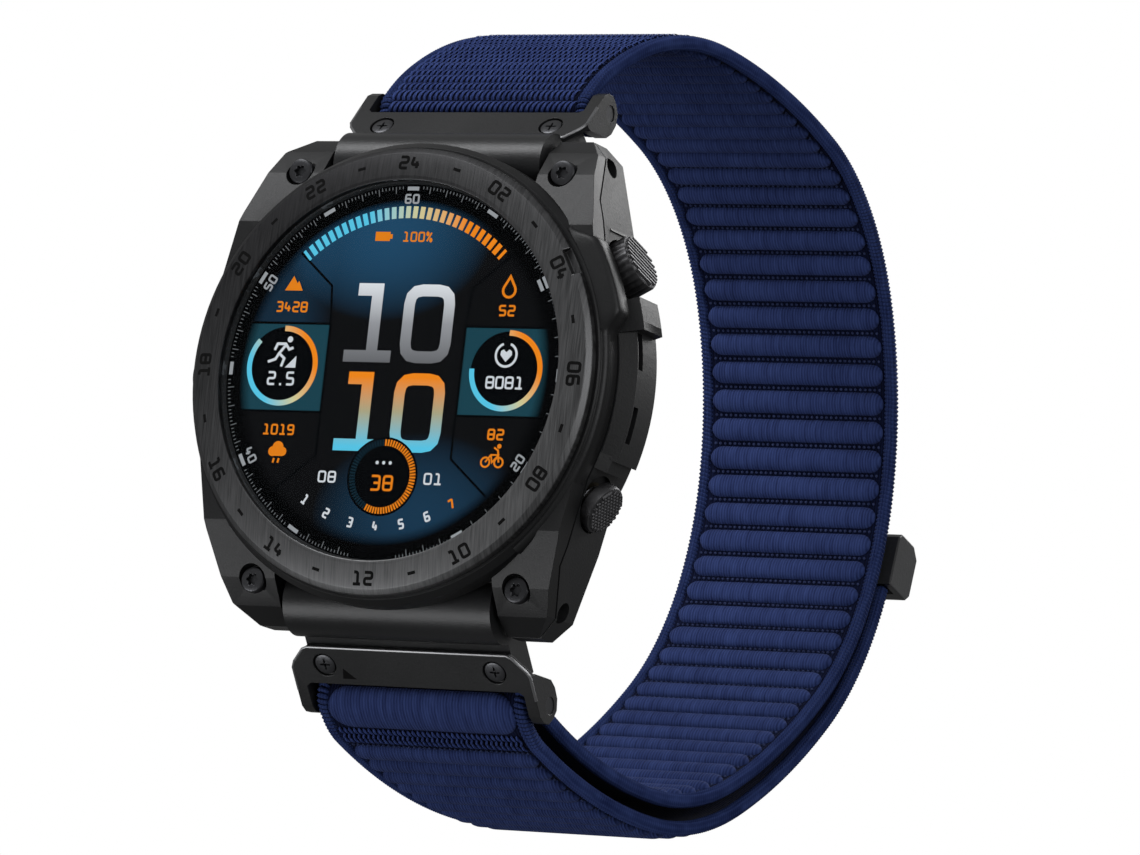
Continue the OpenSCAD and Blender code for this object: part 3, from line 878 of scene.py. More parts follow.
# %% Weave the band
PILE_END = 128
BAR_ARC = math.pi * FOLD
inner_end = lower_run.length - BAR_ARC - abs(lead[1][0] * lead[1][1]) * math.pi / 180
weave("main", main_run, on_head, "band_main", rib=(IN, 0, main_run.length), pile=(OUT, 0.5, PILE_END))
weave("upper", upper_run, bends_up, "band_upper_end", pile=(OUT, 1.0, upper_run.length))
weave("lower", lower_run, bends_low, "band_lower_turn", rib=(IN, 0, inner_end - 1.2))
weave("tail", tail_run, on_head, "band_tail", rib=(OUT, 0, tail_run.length - 0.5))
weave("tip", tip_run, peels, "band_tail_tip", rib=(OUT, 4.4, tip_run.length))

# %% [markdown]
# ## Fold over the lower bar
# Where the band comes round the lower bar, one rib is wider than the others, and below it rows
# of stitches that lean by turns, a zigzag, close the fold. They are bent round the run point by
# point, because the bend there is tight.

# %% Wide rib and zigzag stitches
def bent(run, rings, middle):
    """Rings drawn flat, laid along a run about a distance."""
    return [[run.spot(middle + y, x, z) for x, y, z in ring] for ring in rings]


WIDE_RIB = 2.35
fold_top = inner_end + BAR_ARC * 0.78 + 1.6
wide_rib = Shape().sweep(bent(lower_run, cushion(11.6, WIDE_RIB, 0.72, IN), fold_top))
bends_low(wide_rib.piece("fold_rib", RIB_YARN))


def stroke(x, y, lean, half, side):
    """A short slanted stitch lying on the cloth."""
    return [[(x + lean * t + u, y + half * t, side * (GROUND_HALF + 0.12 + 0.16 * (1 - t * t) + v))
             for u, v in round_section(0.15 if abs(t) < 1 else 0.08, 5)] for t in (-1, -0.6, 0, 0.6, 1)]


def zigzag(run, middle, side):
    shape = Shape()
    for row, lean in ((-0.85, 0.16), (0.0, -0.16), (0.85, 0.16)):
        for x in spaced(-11.0, 11.0, 0.62):
            shape.sweep(bent(run, stroke(x, row, lean, 0.42, side), middle))
    return shape


bends_low(zigzag(lower_run, fold_top + WIDE_RIB + 1.35, IN).piece("fold_stitches", PILE_YARN))
bends_up(zigzag(upper_run, 1.6, OUT).piece("end_stitches", PILE_YARN))

# %% [markdown]
# ## Drawing on the dial
# Numerals, rings and icons are flat strokes of a fixed width, like inlaid strips. A stroke is a
# path with mitred corners and a small thickness, so it is a real closed strip and not a
# picture. Corners are cut round with four points each.

# %% Strokes
FACE_Y = 1.235
INK = 0.022


def rounded(points, radius, loop):
    """The same path with its corners cut round."""
    path = []
    count = len(points)
    for i, corner in enumerate(points):
        if not loop and i in (0, count - 1):
            path.append(corner)
            continue
        here = Vector(corner)
        before, after = Vector(points[i - 1]) - here, Vector(points[(i + 1) % count]) - here
        cut = min(radius, before.length / 2, after.length / 2)
        first, last = here + before.normalized() * cut, here + after.normalized() * cut
        for t in (0, 0.33, 0.67, 1):
            path.append(tuple(first * (1 - t) ** 2 + here * 2 * t * (1 - t) + last * t * t))
    return path


def stroke_rings(path, width, loop, depth):
    """Rings of a flat strip along a path of (x, z). depth gives (front, back) levels at a point."""
    rings, count = [], len(path)
    for i, spot in enumerate(path):
        here = Vector(spot)
        before = Vector(path[i - 1]) if loop or i > 0 else None
        after = Vector(path[(i + 1) % count]) if loop or i < count - 1 else None
        lines = [v.normalized() for v in ((here - before) if before else None,
                                          (after - here) if after else None) if v is not None]
        along = sum(lines, Vector((0, 0)))
        along = along.normalized() if along.length > 1e-6 else lines[0]
        across = Vector((-along.y, along.x))
        reach = width / 2 / max(0.5, abs(across.dot(Vector((-lines[0].y, lines[0].x)))))
        left, right_side = here + across * reach, here - across * reach
        (front_l, back_l), (front_r, back_r) = depth(*left), depth(*right_side)
        rings.append([(left.x, front_l, left.y), (right_side.x, front_r, right_side.y),
                      (right_side.x, back_r, right_side.y), (left.x, back_l, left.y)])
    return rings


def on_face(x, z):
    return FACE_Y - INK, FACE_Y


print("rings of a straight stroke:", len(stroke_rings([(0, 0), (1, 0)], 0.2, False, on_face)))

# %% [markdown]
# ## Ink
# Ink is a Shape that can also draw strokes, filled outlines and discs, at the level of the lit
# face or at any other.

# %% Ink
def arc_path(x, z, radius, start, end, pieces):
    """Points on an arc about (x, z). Angles are in degrees from 3 o'clock, upwards."""
    angles = [math.radians(start + (end - start) * i / pieces) for i in range(pieces + 1)]
    return [(x + radius * math.cos(a), z + radius * math.sin(a)) for a in angles]


class Ink(Shape):
    """Strokes on the dial or on the bezel."""

    def line(self, path, width, loop=False, depth=on_face, radius=0.0):
        if radius:
            path = rounded(path, radius, loop)
        return self.sweep(stroke_rings(path, width, loop, depth), loop)

    def patch(self, outline, depth=on_face):
        """A filled flat shape."""
        first, count = len(self.points), len(outline)
        for level in (0, 1):
            self.points.extend((x, depth(x, z)[level], z) for x, z in outline)
        self.faces.append(tuple(range(first, first + count)))
        self.faces.append(tuple(range(first + count, first + 2 * count)))
        for k in range(count):
            n = (k + 1) % count
            self.faces.append((first + k, first + n, first + count + n, first + count + k))
        return self

    def disc(self, x, z, radius, sides=24, depth=on_face):
        return self.patch(round_section(radius, sides, (x, z)), depth)


print("ink is", INK, "mm thick, on a face", FACE_Y, "mm deep")

# %% [markdown]
# ## Numerals
# The numerals are squared, as on a technical display: each is one to three strokes on a unit
# square. The 1 stands on a foot. They can be turned to follow the rim.

# %% Numerals
BOX = [(0, 0), (1, 0), (1, 1), (0, 1)]
NUMERALS = {
    "0": [BOX],
    "1": [[(0.0, 0), (1, 0)], [(0.62, 0), (0.62, 1), (0.12, 1)]],
    "2": [[(0, 1), (1, 1), (1, 0.5), (0, 0.5), (0, 0), (1, 0)]],
    "3": [[(0, 1), (1, 1), (1, 0), (0, 0)], [(0.3, 0.5), (1, 0.5)]],
    "4": [[(0.2, 1), (0, 0.32), (1, 0.32)], [(0.7, 0.62), (0.7, 0)]],
    "5": [[(1, 1), (0, 1), (0, 0.52), (1, 0.52), (1, 0), (0, 0)]],
    "6": [[(1, 1), (0, 1), (0, 0), (1, 0), (1, 0.52), (0, 0.52)]],
    "7": [[(0, 1), (1, 1), (0.4, 0)]],
    "8": [BOX, [(0, 0.5), (1, 0.5)]],
    "9": [[(0, 0), (1, 0), (1, 1), (0, 1), (0, 0.48), (1, 0.48)]],
    "%": [[(0.1, 0), (0.9, 1)], [(0, 0.72), (0.3, 0.72), (0.3, 1), (0, 1)],
          [(0.7, 0), (1, 0), (1, 0.28), (0.7, 0.28)]],
    ".": [[(0.35, 0), (0.65, 0)]],
}


def write(ink, digits, x, z, height, width, turned=0.0, weight=0.19, gap=0.42, depth=on_face):
    """Numerals centred on (x, z), with strokes weight times their height wide."""
    line = weight * height
    pitch = width + gap * width + line * 0.4
    angle = math.radians(turned)
    begin = -(pitch * (len(digits) - 1) + width) / 2
    for i, digit in enumerate(digits):
        for path in NUMERALS[digit]:
            loop = path is BOX or (digit == "%" and len(path) == 4)
            flat = [(begin + pitch * i + u * width, (v - 0.5) * (height - line)) for u, v in path]
            if len(flat) > 2:
                flat = rounded(flat, 0.28 * width, loop)
            spun = [(x + u * math.cos(angle) - v * math.sin(angle),
                     z + u * math.sin(angle) + v * math.cos(angle)) for u, v in flat]
            ink.line(spun, line, loop, depth)
    return ink


print("signs:", " ".join(NUMERALS))

# %% [markdown]
# ## Light colours
# What the display shows gives off light. A fade runs straight along one direction across the
# dial, from one colour through a second to a third.

# %% Lit finishes
ORANGE, CREAM, CYAN = (1.0, 0.27, 0.012), (0.72, 0.66, 0.34), (0.11, 0.62, 0.84)
WHITE, GREY = (0.80, 0.82, 0.84), (0.20, 0.205, 0.21)


def lit(name, colour, strength=0.85):
    finish = Finish(name, (0, 0, 0), 0.6, Emission_Strength=strength, Specular_IOR_Level=0.0)
    haze = finish.noise(900, 1.0)
    dimmer = tuple(channel * 0.86 for channel in colour)
    return finish.feed("Emission Color", finish.mix(haze, dimmer, colour)).material


def fade(name, start, end, colours, strength=0.9, stops=(0, 0.5, 1)):
    """Light that fades from one dial point to another through three colours."""
    finish = Finish(name, (0, 0, 0), 0.6, Emission_Strength=strength, Specular_IOR_Level=0.0)
    _, x, _, z = finish.place()
    run_x, run_z = end[0] - start[0], end[1] - start[1]
    length = (run_x ** 2 + run_z ** 2) * MM
    far = ((x - (start[0] + DIAL.x) * MM) * run_x + (z - (start[1] + DIAL.z) * MM) * run_z) / length
    ramp = finish.node("ShaderNodeValToRGB", {"stops": list(zip(stops, colours))}, {0: far})
    return finish.feed("Emission Color", ramp).material


PAINTS = {
    "orange": lit("orange_light", ORANGE),
    "white": lit("white_light", WHITE),
    "grey": lit("grey_print", GREY, 0.8),
    "pale": lit("pale_bar", (0.42, 0.43, 0.44), 0.8),
    "dark": lit("dark_line", (0.0012, 0.0016, 0.002), 1.0),
    "dim": lit("dim_ring", (0.006, 0.022, 0.034), 1.0),
    "silver": fade("silver_numerals", (0, 9.6), (0, 1.0),
                   [(0.82, 0.83, 0.84), (0.34, 0.34, 0.35), (0.15, 0.15, 0.155)]),
    "fire": fade("fire_numerals", (0, -0.6), (0, -8.2), [ORANGE, (0.46, 0.42, 0.25), CYAN]),
    "arc": fade("arc_bars", (-12, 0), (12, 0), [CYAN, CREAM, ORANGE], stops=(0.30, 0.54, 0.80)),
    "left_gauge": fade("left_gauge_ring", (-10.2, 1.5), (-16.5, -1.5), [ORANGE, CREAM, CYAN]),
    "right_gauge": fade("right_gauge_ring", (17.0, 1.5), (11.5, -1.8), [ORANGE, CREAM, CYAN]),
}


def show(ink, name, paint):
    """Adds ink to the watch head as one piece."""
    piece = ink.piece(name, PAINTS[paint])
    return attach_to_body(piece, "watch_head")


print("lights:", ", ".join(PAINTS))

# %% [markdown]
# ## Lit face
# The picture is laminated to the back of the glass, so it sits right behind it. Its ground is a
# dark blue glow at the top and lower right, teal fields behind the two gauges, and black at
# the rim and behind the time.

# %% Face of the display
FACE_R = 20.45


def face_finish():
    finish = Finish("display_face", (0, 0, 0), 0.6, Emission_Strength=1.0, Specular_IOR_Level=0.0)
    _, x, _, z = finish.place()
    x, z = (x - DIAL.x * MM) / MM, (z - DIAL.z * MM) / MM
    radius = (x * x + z * z) ** 0.5

    def glow(centre_x, centre_z, reach_x, reach_z):
        far_x, far_z = (x - centre_x) / reach_x, (z - centre_z) / reach_z
        return 1 - (far_x * far_x + far_z * far_z).ease(0, 1)

    side = x.sum("ABSOLUTE", x)
    field = (side.ease(8.3, 8.6)) * (1 - z.sum("ABSOLUTE", z - 0.3).ease(4.75, 4.95))
    upper_left = (0 - x).ease(8.2, 12) * z.ease(4.9, 5.3)
    rim = 1 - radius.ease(17.6, 18.9)
    blue = glow(-2.5, 15.5, 13, 10) * 0.75 + glow(5, -15.5, 13, 9) * 0.42 + upper_left * 0.22
    colour = finish.mix(blue.ease(0, 1), (0.0042, 0.0044, 0.0048), (0.018, 0.085, 0.17))
    colour = finish.mix(field * 0.85, colour, (0.012, 0.062, 0.085))
    colour = finish.mix(rim, (0.0008, 0.0009, 0.001), colour)
    return finish.feed("Emission Color", colour).material


PAINTS["face"] = face_finish()
face = Ink()
face.sweep([[(x, FACE_Y + y, z) for x, z in round_section(FACE_R, 96)] for y in (0.0, 0.055)])
show(face, "display_face", "face")

# %% [markdown]
# ## Fields and separators
# Thin dark lines divide the face: a column for the time in the middle and three fields on
# each side, all mirrored about 12 o'clock.

# %% Separators
lines = Ink()
for mirrored in (-1, 1):
    for path in ([(13.0, 12.9), (8.7, 9.3), (8.3, 5.1), (8.3, -9.3), (13.0, -13.2)],
                 [(8.2, 5.1), (18.3, 5.1)], [(8.2, -4.6), (18.3, -4.6)]):
        lines.line([(mirrored * x, z) for x, z in path], 0.26)
show(lines, "face_separators", "dark")

# %% [markdown]
# ## Time
# The hour stands over the minutes: large squared numerals, silver above, and below them a fade
# from orange to cyan.

# %% Hour and minutes
BIG_HEIGHT, BIG_WIDE, BIG_LINE = 8.6, 4.9, 1.3


def big_number(ink, top):
    low_z = top - BIG_HEIGHT + BIG_LINE / 2
    high_z = top - BIG_LINE / 2
    ink.line([(-6.3, low_z), (-0.5, low_z)], BIG_LINE)
    ink.line([(-2.9, low_z), (-2.9, high_z), (-5.3, high_z)], BIG_LINE * 1.05)
    ink.line([(1.15, low_z), (1.15 + BIG_WIDE, low_z), (1.15 + BIG_WIDE, high_z), (1.15, high_z)],
             BIG_LINE, loop=True, radius=1.5)
    return ink


show(big_number(Ink(), 9.6), "hour_numerals", "silver")
show(big_number(Ink(), -0.1), "minute_numerals", "fire")

# %% [markdown]
# ## Arc of bars
# Thirty-one bars make the arc under 12 o'clock, the first and the last of them thinner.

# %% Upper arc
BARS, FIRST_BAR, BAR_STEP = 31, 134, 2.87
arc = Ink()
for k in range(BARS):
    width = 0.34 if k in (0, BARS - 1) else 0.56
    arc.line([polar(r, FIRST_BAR - BAR_STEP * k) for r in (16.85, 18.15)], width)
show(arc, "arc_bars", "arc")

# %% [markdown]
# ## Small readings
# A battery stands under the arc, and in the side fields a peak, a cloud with rain, a drop and a
# bicycle, each with its number. An orange 7 ends the row of small numerals at the rim. They are
# all one piece, drawn from strokes, filled shapes and discs.

# %% Orange readings
SEVEN_AT = -57.5
RIM_DIGIT_R = 16.75
small = Ink()
small.patch([(-4.0, 14.3), (-2.2, 14.3), (-2.2, 15.3), (-4.0, 15.3)])
small.patch([(-2.2, 14.55), (-1.9, 14.55), (-1.9, 15.05), (-2.2, 15.05)])
write(small, "100%", 1.2, 14.8, 1.12, 0.62, weight=0.16)
small.patch([(-14.5, 8.7), (-12.3, 8.7), (-12.85, 9.75), (-13.05, 9.5), (-13.55, 10.3)])
write(small, "3428", -13.4, 6.9, 1.2, 0.66, weight=0.17)
write(small, "1019", -13.3, -6.6, 1.2, 0.66, weight=0.17)
for x, z, r in ((-13.7, -9.0, 0.55), (-13.1, -8.55, 0.68), (-12.5, -9.0, 0.5)):
    small.disc(x, z, r, 16)
small.patch([(-13.7, -9.5), (-12.5, -9.5), (-12.5, -9.0), (-13.7, -9.0)])
for x in (-13.45, -12.85):
    small.line([(x, -9.75), (x - 0.1, -10.25)], 0.22)
write(small, "52", 13.1, 6.9, 1.25, 0.7, weight=0.18)
small.line(arc_path(13.1, 9.1, 0.75, -210, 30, 12) + [(13.1, 10.6)], 0.28, loop=True)
write(small, "82", 13.4, -6.5, 1.25, 0.7, weight=0.18)
for x in (12.5, 14.1):
    small.line(arc_path(x, -9.5, 0.52, 0, 360, 14)[:-1], 0.2, loop=True)
small.line([(12.5, -9.5), (13.1, -8.7), (14.0, -8.7), (13.3, -9.5), (13.1, -8.7)], 0.18)
small.line([(14.1, -9.5), (13.9, -8.2), (13.4, -7.9)], 0.2)
small.disc(14.0, -7.75, 0.26, 12)
write(small, "7", *polar(RIM_DIGIT_R, SEVEN_AT), 1.15, 0.5, turned=SEVEN_AT + 90, weight=0.19)
show(small, "orange_readings", "orange")

# %% [markdown]
# ## Gauges
# A round gauge stands in each middle field: a dark disc with a ring that fades from orange
# to cyan, a small icon and a number.

# %% Gauges
GAUGE_X, GAUGE_Z, GAUGE_R = 13.75, 0.4, 4.1
discs = Ink()
for mirrored in (-1, 1):
    discs.disc(mirrored * GAUGE_X, GAUGE_Z, GAUGE_R + 0.15, 48)
show(discs, "gauge_discs", "dark")


def raised(x, z):
    """Just in front of the other ink."""
    return FACE_Y - 1.5 * INK, FACE_Y - 0.5 * INK


rings_left = Ink().line(arc_path(-GAUGE_X, GAUGE_Z, GAUGE_R, 92, -222, 60), 0.6, depth=raised)
rings_right = Ink().line(arc_path(GAUGE_X, GAUGE_Z, GAUGE_R, 90, -182, 56), 0.6, depth=raised)
show(rings_left, "left_gauge_ring", "left_gauge")
show(rings_right, "right_gauge_ring", "right_gauge")

# %% [markdown]
# ## White readings
# A runner and a wedge stand in the left gauge, an open ring with a heart in the right one. The
# date is beside the seconds, and a row of small numerals follows the rim at the bottom.

# %% White readings
white = Ink()
write(white, "2.5", -GAUGE_X, -1.0, 1.55, 0.82, weight=0.16, gap=0.3, depth=raised)
write(white, "8081", GAUGE_X, -0.9, 1.4, 0.82, weight=0.16, gap=0.32, depth=raised)
white.disc(-13.1, 3.3, 0.34, 14, raised)
for path in ([(-13.5, 2.75), (-14.3, 1.75), (-13.6, 1.2), (-13.9, 0.3)],
             [(-14.3, 1.75), (-14.7, 1.1), (-15.6, 0.8)],
             [(-14.9, 2.1), (-14.6, 2.8), (-13.6, 2.8), (-13.1, 2.2), (-12.6, 2.4)]):
    white.line(path, 0.3, depth=raised)
white.patch([(-13.4, 0.2), (-12.1, 0.2), (-12.1, 1.5)], raised)
white.line(arc_path(13.6, 2.1, 1.25, 70, -250, 30), 0.26, depth=raised)
white.patch([(13.6, 1.35), (14.3, 2.1), (14.25, 2.5), (13.95, 2.7), (13.6, 2.4), (13.25, 2.7),
             (12.95, 2.5), (12.9, 2.1)], raised)
write(white, "08", -6.6, -11.6, 1.3, 0.8, weight=0.16, depth=raised)
write(white, "01", 6.4, -11.5, 1.3, 0.8, weight=0.16, depth=raised)
for number, angle in zip("123456", (-122.5, -111.7, -100.8, -90, -79.2, -68.3)):
    write(white, number, *polar(RIM_DIGIT_R, angle), 1.15, 0.5, turned=angle + 90, weight=0.19,
          depth=raised)
for x in (-0.6, 0.2, 1.0):
    white.disc(x, -9.9, 0.2, 10, raised)
show(white, "white_readings", "white")

# %% [markdown]
# ## Seconds ring
# Seventy-two ticks ring the seconds. Those already passed are orange, and the rest are dim.

# %% Seconds ring
SECONDS = (0.2, -11.4)
TICKS, PASSED = 72, 41
bright, dim = Ink(), Ink()
for k in range(TICKS):
    angle = math.radians(90 - 360 * k / TICKS)
    ends = [(SECONDS[0] + r * math.cos(angle), SECONDS[1] + r * math.sin(angle)) for r in (3.35, 4.05)]
    (bright if k <= PASSED else dim).line(ends, 0.2, depth=raised)
backing = Ink().disc(*SECONDS, 4.3, 40, lambda x, z: (FACE_Y - 1.2 * INK, FACE_Y))
write(bright, "38", 0.2, -12.1, 1.75, 1.0, weight=0.15, depth=raised)
show(backing, "seconds_disc", "dark")
show(bright, "seconds_passed", "orange")
show(dim, "seconds_left", "dim")

# %% [markdown]
# ## Minute track
# Round the rim run fine ticks five to the minute, longer ones on each minute, a pale bar every
# five minutes and grey numerals at four places. A Geometry Nodes tree would do as well, but
# the ticks differ in length and stop short of 6 o'clock, so a plain loop says it better.

# %% Minute track
track, bars = Ink(), Ink()
for k in range(300):
    clear_of_bar = min(k % 25, 25 - k % 25) > 2
    clear_of_six = abs(k - 150) > 6
    if clear_of_bar and clear_of_six:
        inner = 19.6 if k % 5 == 0 else 20.05
        track.line([polar(r, 90 - 1.2 * k) for r in (inner, 20.35)], 0.08)
for k in range(12):
    if k != 6:
        bars.line(arc_path(0, 0, 20.1, 92 - 30 * k, 88 - 30 * k, 4), 0.42)
bars.line(arc_path(0, 0, 19.4, 32, 28, 4), 0.42)
for number, angle in (("60", 90), ("50", 150), ("40", -150), ("20", -30)):
    upright = angle - 90 if angle > 0 else angle + 90
    write(bars, number, *polar(18.95, angle), 1.1, 0.62, turned=upright, weight=0.19)
show(track, "minute_ticks", "grey")
show(bars, "minute_bars", "pale")

# %% [markdown]
# ## Bezel numerals
# The bezel carries the hours of a day, cut in and filled black, two hours to a numeral with a
# short dash between. The ring's face slopes a little, and the strokes follow it.

# %% Bezel numerals
BEZEL_MARK_R, BEZEL_RISE = 22.65, 0.35


def on_bezel(x, z):
    """Just proud of the bezel's sloping face."""
    slope = BEZEL_RISE / (bezel_out - bezel_in)
    level = -BEZEL_RISE + (math.hypot(x, z) - bezel_in) * slope
    return level - 0.012, level + 0.08


bezel_in = (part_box("lens")[1].x / MM - DIAL.x) + 0.6
bezel_out = (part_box("bezel_ring")[1].x / MM - DIAL.x) - 0.6
marks = Ink()
for k in range(12):
    angle = 90 - 30 * k
    between = math.radians(angle - 15)
    upright = angle + 90 if 4 <= k <= 8 else angle - 90
    write(marks, f"{24 if k == 0 else 2 * k:02d}", *polar(BEZEL_MARK_R, angle), 1.6, 0.9,
          turned=upright, weight=0.21, depth=on_bezel)
    marks.line([(BEZEL_MARK_R * math.cos(between + t), BEZEL_MARK_R * math.sin(between + t))
                for t in (-0.02, 0.02)], 0.34, depth=on_bezel)
fill = coating("mark_fill", (0.0008, 0.0008, 0.0009), 0.8, 0.0, 3000, 0.002 * MM, Specular_IOR_Level=0.08)
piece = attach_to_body(marks.piece("bezel_marks", fill), "watch_head")

# %% [markdown]
# ## Edges that catch the light
# Machined and moulded parts have small rounded edges, and those edges make the highlights that
# show their form. A copy of each CAD node gets its loose triangles merged, its flat faces
# rebuilt and a narrow bevel on every edge that turns by more than 13 degrees, and then stands
# in for the node. Edges that still turn by more than 11 degrees are shaded sharp.

# %% Softened copies
MERGE_WITHIN = 0.002 * MM
FLAT_WITHIN, BEVEL_FROM, KINK = (math.radians(angle) for angle in (0.12, 13, 11))


def soften(node, width, slot_name, body="watch_head"):
    """A copy of a CAD node with edges rounded by width millimetres."""
    mesh = NODES[node].data.copy()
    solid = bmesh.new()
    solid.from_mesh(mesh)
    bmesh.ops.remove_doubles(solid, verts=solid.verts, dist=MERGE_WITHIN)
    bmesh.ops.dissolve_limit(solid, angle_limit=FLAT_WITHIN, verts=solid.verts, edges=solid.edges)
    for face in solid.faces:
        face.smooth = True
    solid.to_mesh(mesh)
    solid.free()
    piece = in_scene(node + "_finished", mesh)
    bevel = piece.modifiers.new("bevel", "BEVEL")
    bevel.width = width * MM
    bevel.segments = 2
    bevel.limit_method = "ANGLE"
    bevel.angle_limit = BEVEL_FROM
    bevel.use_clamp_overlap = True
    bake(piece)
    piece.data.set_sharp_from_angle(angle=KINK)
    print(piece.name, len(piece.data.polygons), "faces")
    piece.data.materials.clear()
    piece.data.materials.append(MATERIALS[slot_name])
    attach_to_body(piece, body)
    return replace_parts(piece, node)


for node, width, slot_name in (
        ("top_frame", 0.22, "frame_coating"), ("mid_case", 0.16, "case_polymer"),
        ("side_guard", 0.25, "case_polymer"), ("left_guard", 0.25, "case_polymer"),
        ("bezel_ring", 0.10, "bezel_metal"), ("back_cover", 0.20, "case_polymer")):
    soften(node, width, slot_name)
for end in ("upper", "lower"):
    soften("link_plate_" + end, 0.28, "link_coating", end + "_link")
    soften("link_body_" + end, 0.15, "link_coating", end + "_link")
soften("end_tab", 0.55, "tab_polymer", "tail_end")

# %% [markdown]
# ## Frame's brow
# A flange runs down the right of the frame, beside the bezel. It swells out over the start
# button as a shoulder that keeps the button from being pressed by accident.

# %% Brow
BROW_IN, BROW_OUT, SHOULDER = 24.75, 25.5, 1.7
BROW_TOP, BROW_FOOT = 1.75, 4.45
BROW_START, BROW_SPAN, BROW_STEPS = -48, 88, 120


def swell(angle):
    """The outer radius at an angle above 3 o'clock: the shoulder is full from 16 to 33 degrees."""
    rise = max(0.0, min(1.0, (angle - 11.0) / 5.0)) * max(0.0, min(1.0, (40.0 - angle) / 7.0))
    return BROW_OUT + SHOULDER * rise * rise * (3 - 2 * rise)


def brow_section(angle):
    out, a = swell(angle), math.radians(angle)
    profile = [(BROW_IN, BROW_TOP), (BROW_IN + 0.15, BROW_TOP - 0.18), (out - 0.75, BROW_TOP - 0.05),
               (out - 0.45, BROW_TOP + 0.02), (out - 0.15, BROW_TOP + 0.2), (out, BROW_TOP + 0.5),
               (out, BROW_FOOT - 0.3), (out - 0.2, BROW_FOOT), (BROW_IN, BROW_FOOT)]
    return [(r * math.cos(a), y, r * math.sin(a)) for r, y in profile]


sections = [brow_section(BROW_START + BROW_SPAN * k / BROW_STEPS) for k in range(BROW_STEPS + 1)]
brow = Shape().sweep(sections)
piece = brow.piece("frame_brow", MATERIALS["frame_coating"], sharp=35)
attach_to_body(piece, "watch_head")

# %% [markdown]
# ## Places on links and buttons
# A link leans back from its pin, and a button points out of the case, so their fittings are
# drawn in the link's or the button's own frame and then turned into place.

# %% Frames of links and buttons
def middle_of(node):
    low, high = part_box(node)
    return (low + high) / 2 / MM - DIAL


def on_link(end, x, y, z):
    """A point of a link's frame: y towards the wrist and z away from the case."""
    pin = middle_of("lug_pin_" + end)
    lean = math.radians(LINK_TILT)
    flip = 1 if end == "upper" else -1
    return (x, pin.y + z * math.sin(lean) + y * math.cos(lean),
            pin.z + flip * (z * math.cos(lean) - y * math.sin(lean)))


BUTTON_DEPTH = middle_of("button_up").y
# Each button's angle round the case, its cap's radius and its face's distance from the centre.
BUTTONS = {"start": (29, 3.2, 28.5), "back": (-29, 2.8, 27.4), "light": (151, 2.7, 27.3),
           "up": (180, 2.7, 27.6), "down": (209, 2.7, 27.3)}


def on_button(angle, along, u, v):
    """A point of a button's frame: along its stem, u towards the wrist and v across."""
    a = math.radians(angle)
    return (along * math.cos(a) - v * math.sin(a), BUTTON_DEPTH + u, along * math.sin(a) + v * math.cos(a))


print("buttons:", ", ".join(BUTTONS), "at a depth of", round(BUTTON_DEPTH, 2), "mm")

# %% [markdown]
# ## Screws
# The case screws take a six-lobed driver and the link screws a cross driver. Each is a row of
# rings from the bottom of its recess, over the head and down the shank. The recess rings have
# a radius that swings with the angle, which draws the driver's outline.

# %% Driven screws
def six_lobes(angle):
    return 0.62 + 0.11 * math.cos(6 * angle)


def cross(angle):
    return 0.20 + 0.46 * math.cos(2 * angle) ** 6


def screw_rings(head, recess, recess_deep, thick, shank, long, spot):
    """Rings of a screw. spot(u, v, depth) places a point, depth going into the work."""
    sides = 48
    rings = []

    def ring(radius, depth):
        angles = [2 * math.pi * k / sides for k in range(sides)]
        sizes = [radius(a) if callable(radius) else radius for a in angles]
        rings.append([spot(r * math.cos(a), r * math.sin(a), depth) for r, a in zip(sizes, angles)])

    ring(0.04, recess_deep)
    ring(lambda a: recess(a) * 0.82, recess_deep)
    ring(recess, 0.03)
    ring(lambda a: recess(a) + 0.05, 0.0)
    ring(head * 0.78, 0.0)
    ring(head * 0.93, 0.06)
    ring(head, 0.22)
    ring(head, thick)
    ring(shank, thick)
    ring(shank, long)
    return rings


print("a cross recess reaches", round(cross(0), 2), "mm out and", round(cross(math.pi / 4), 2), "mm between")

# %% [markdown]
# ## Screws in place
# Four screws hold the frame at its corners. Two hold each link's plate, and lean with the link.
# The lower link's neck is longer, so its screws sit further from the pin.

# %% Screws in place
CASE_SCREW_X, CASE_SCREW_Y, CASE_SCREW_Z = 16.2, 4.2, 22.6


def at_case_screw(side, end):
    return lambda u, v, d: (side * CASE_SCREW_X + u, CASE_SCREW_Y + d, end * CASE_SCREW_Z + v)


screws = Shape()
for side in (-1, 1):
    for end in (-1, 1):
        screws.sweep(screw_rings(head=1.42, recess=six_lobes, recess_deep=0.5, thick=0.9, shank=0.78,
                                 long=3.4, spot=at_case_screw(side, end)))
piece = screws.piece("case_screws", MATERIALS["screw_steel"], sharp=30)
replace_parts(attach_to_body(piece, "watch_head"), "bezel_screws")

LINK_SCREW_X, LINK_SCREW_Z, LINK_SCREW_Y = 10.5, 5.2, -1.70
NECK = {"upper": 0.0, "lower": 1.6}


def at_link_screw(end, x):
    return lambda u, v, d: on_link(end, x + u, LINK_SCREW_Y + d, LINK_SCREW_Z + NECK[end] + v)


for end in ("upper", "lower"):
    pair = Shape()
    for x in (-LINK_SCREW_X, LINK_SCREW_X):
        pair.sweep(screw_rings(head=1.27, recess=cross, recess_deep=0.3, thick=0.4, shank=0.58,
                               long=2.9, spot=at_link_screw(end, x)))
    piece = pair.piece("link_cross_screws_" + end, MATERIALS["screw_steel"], sharp=30)
    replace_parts(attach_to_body(piece, end + "_link"), "link_screws_" + end)

# %% [markdown]
# ## Lower link's mark
# A small triangle is cut into the lower link's plate beside one screw. It shows which end of
# the band goes where.

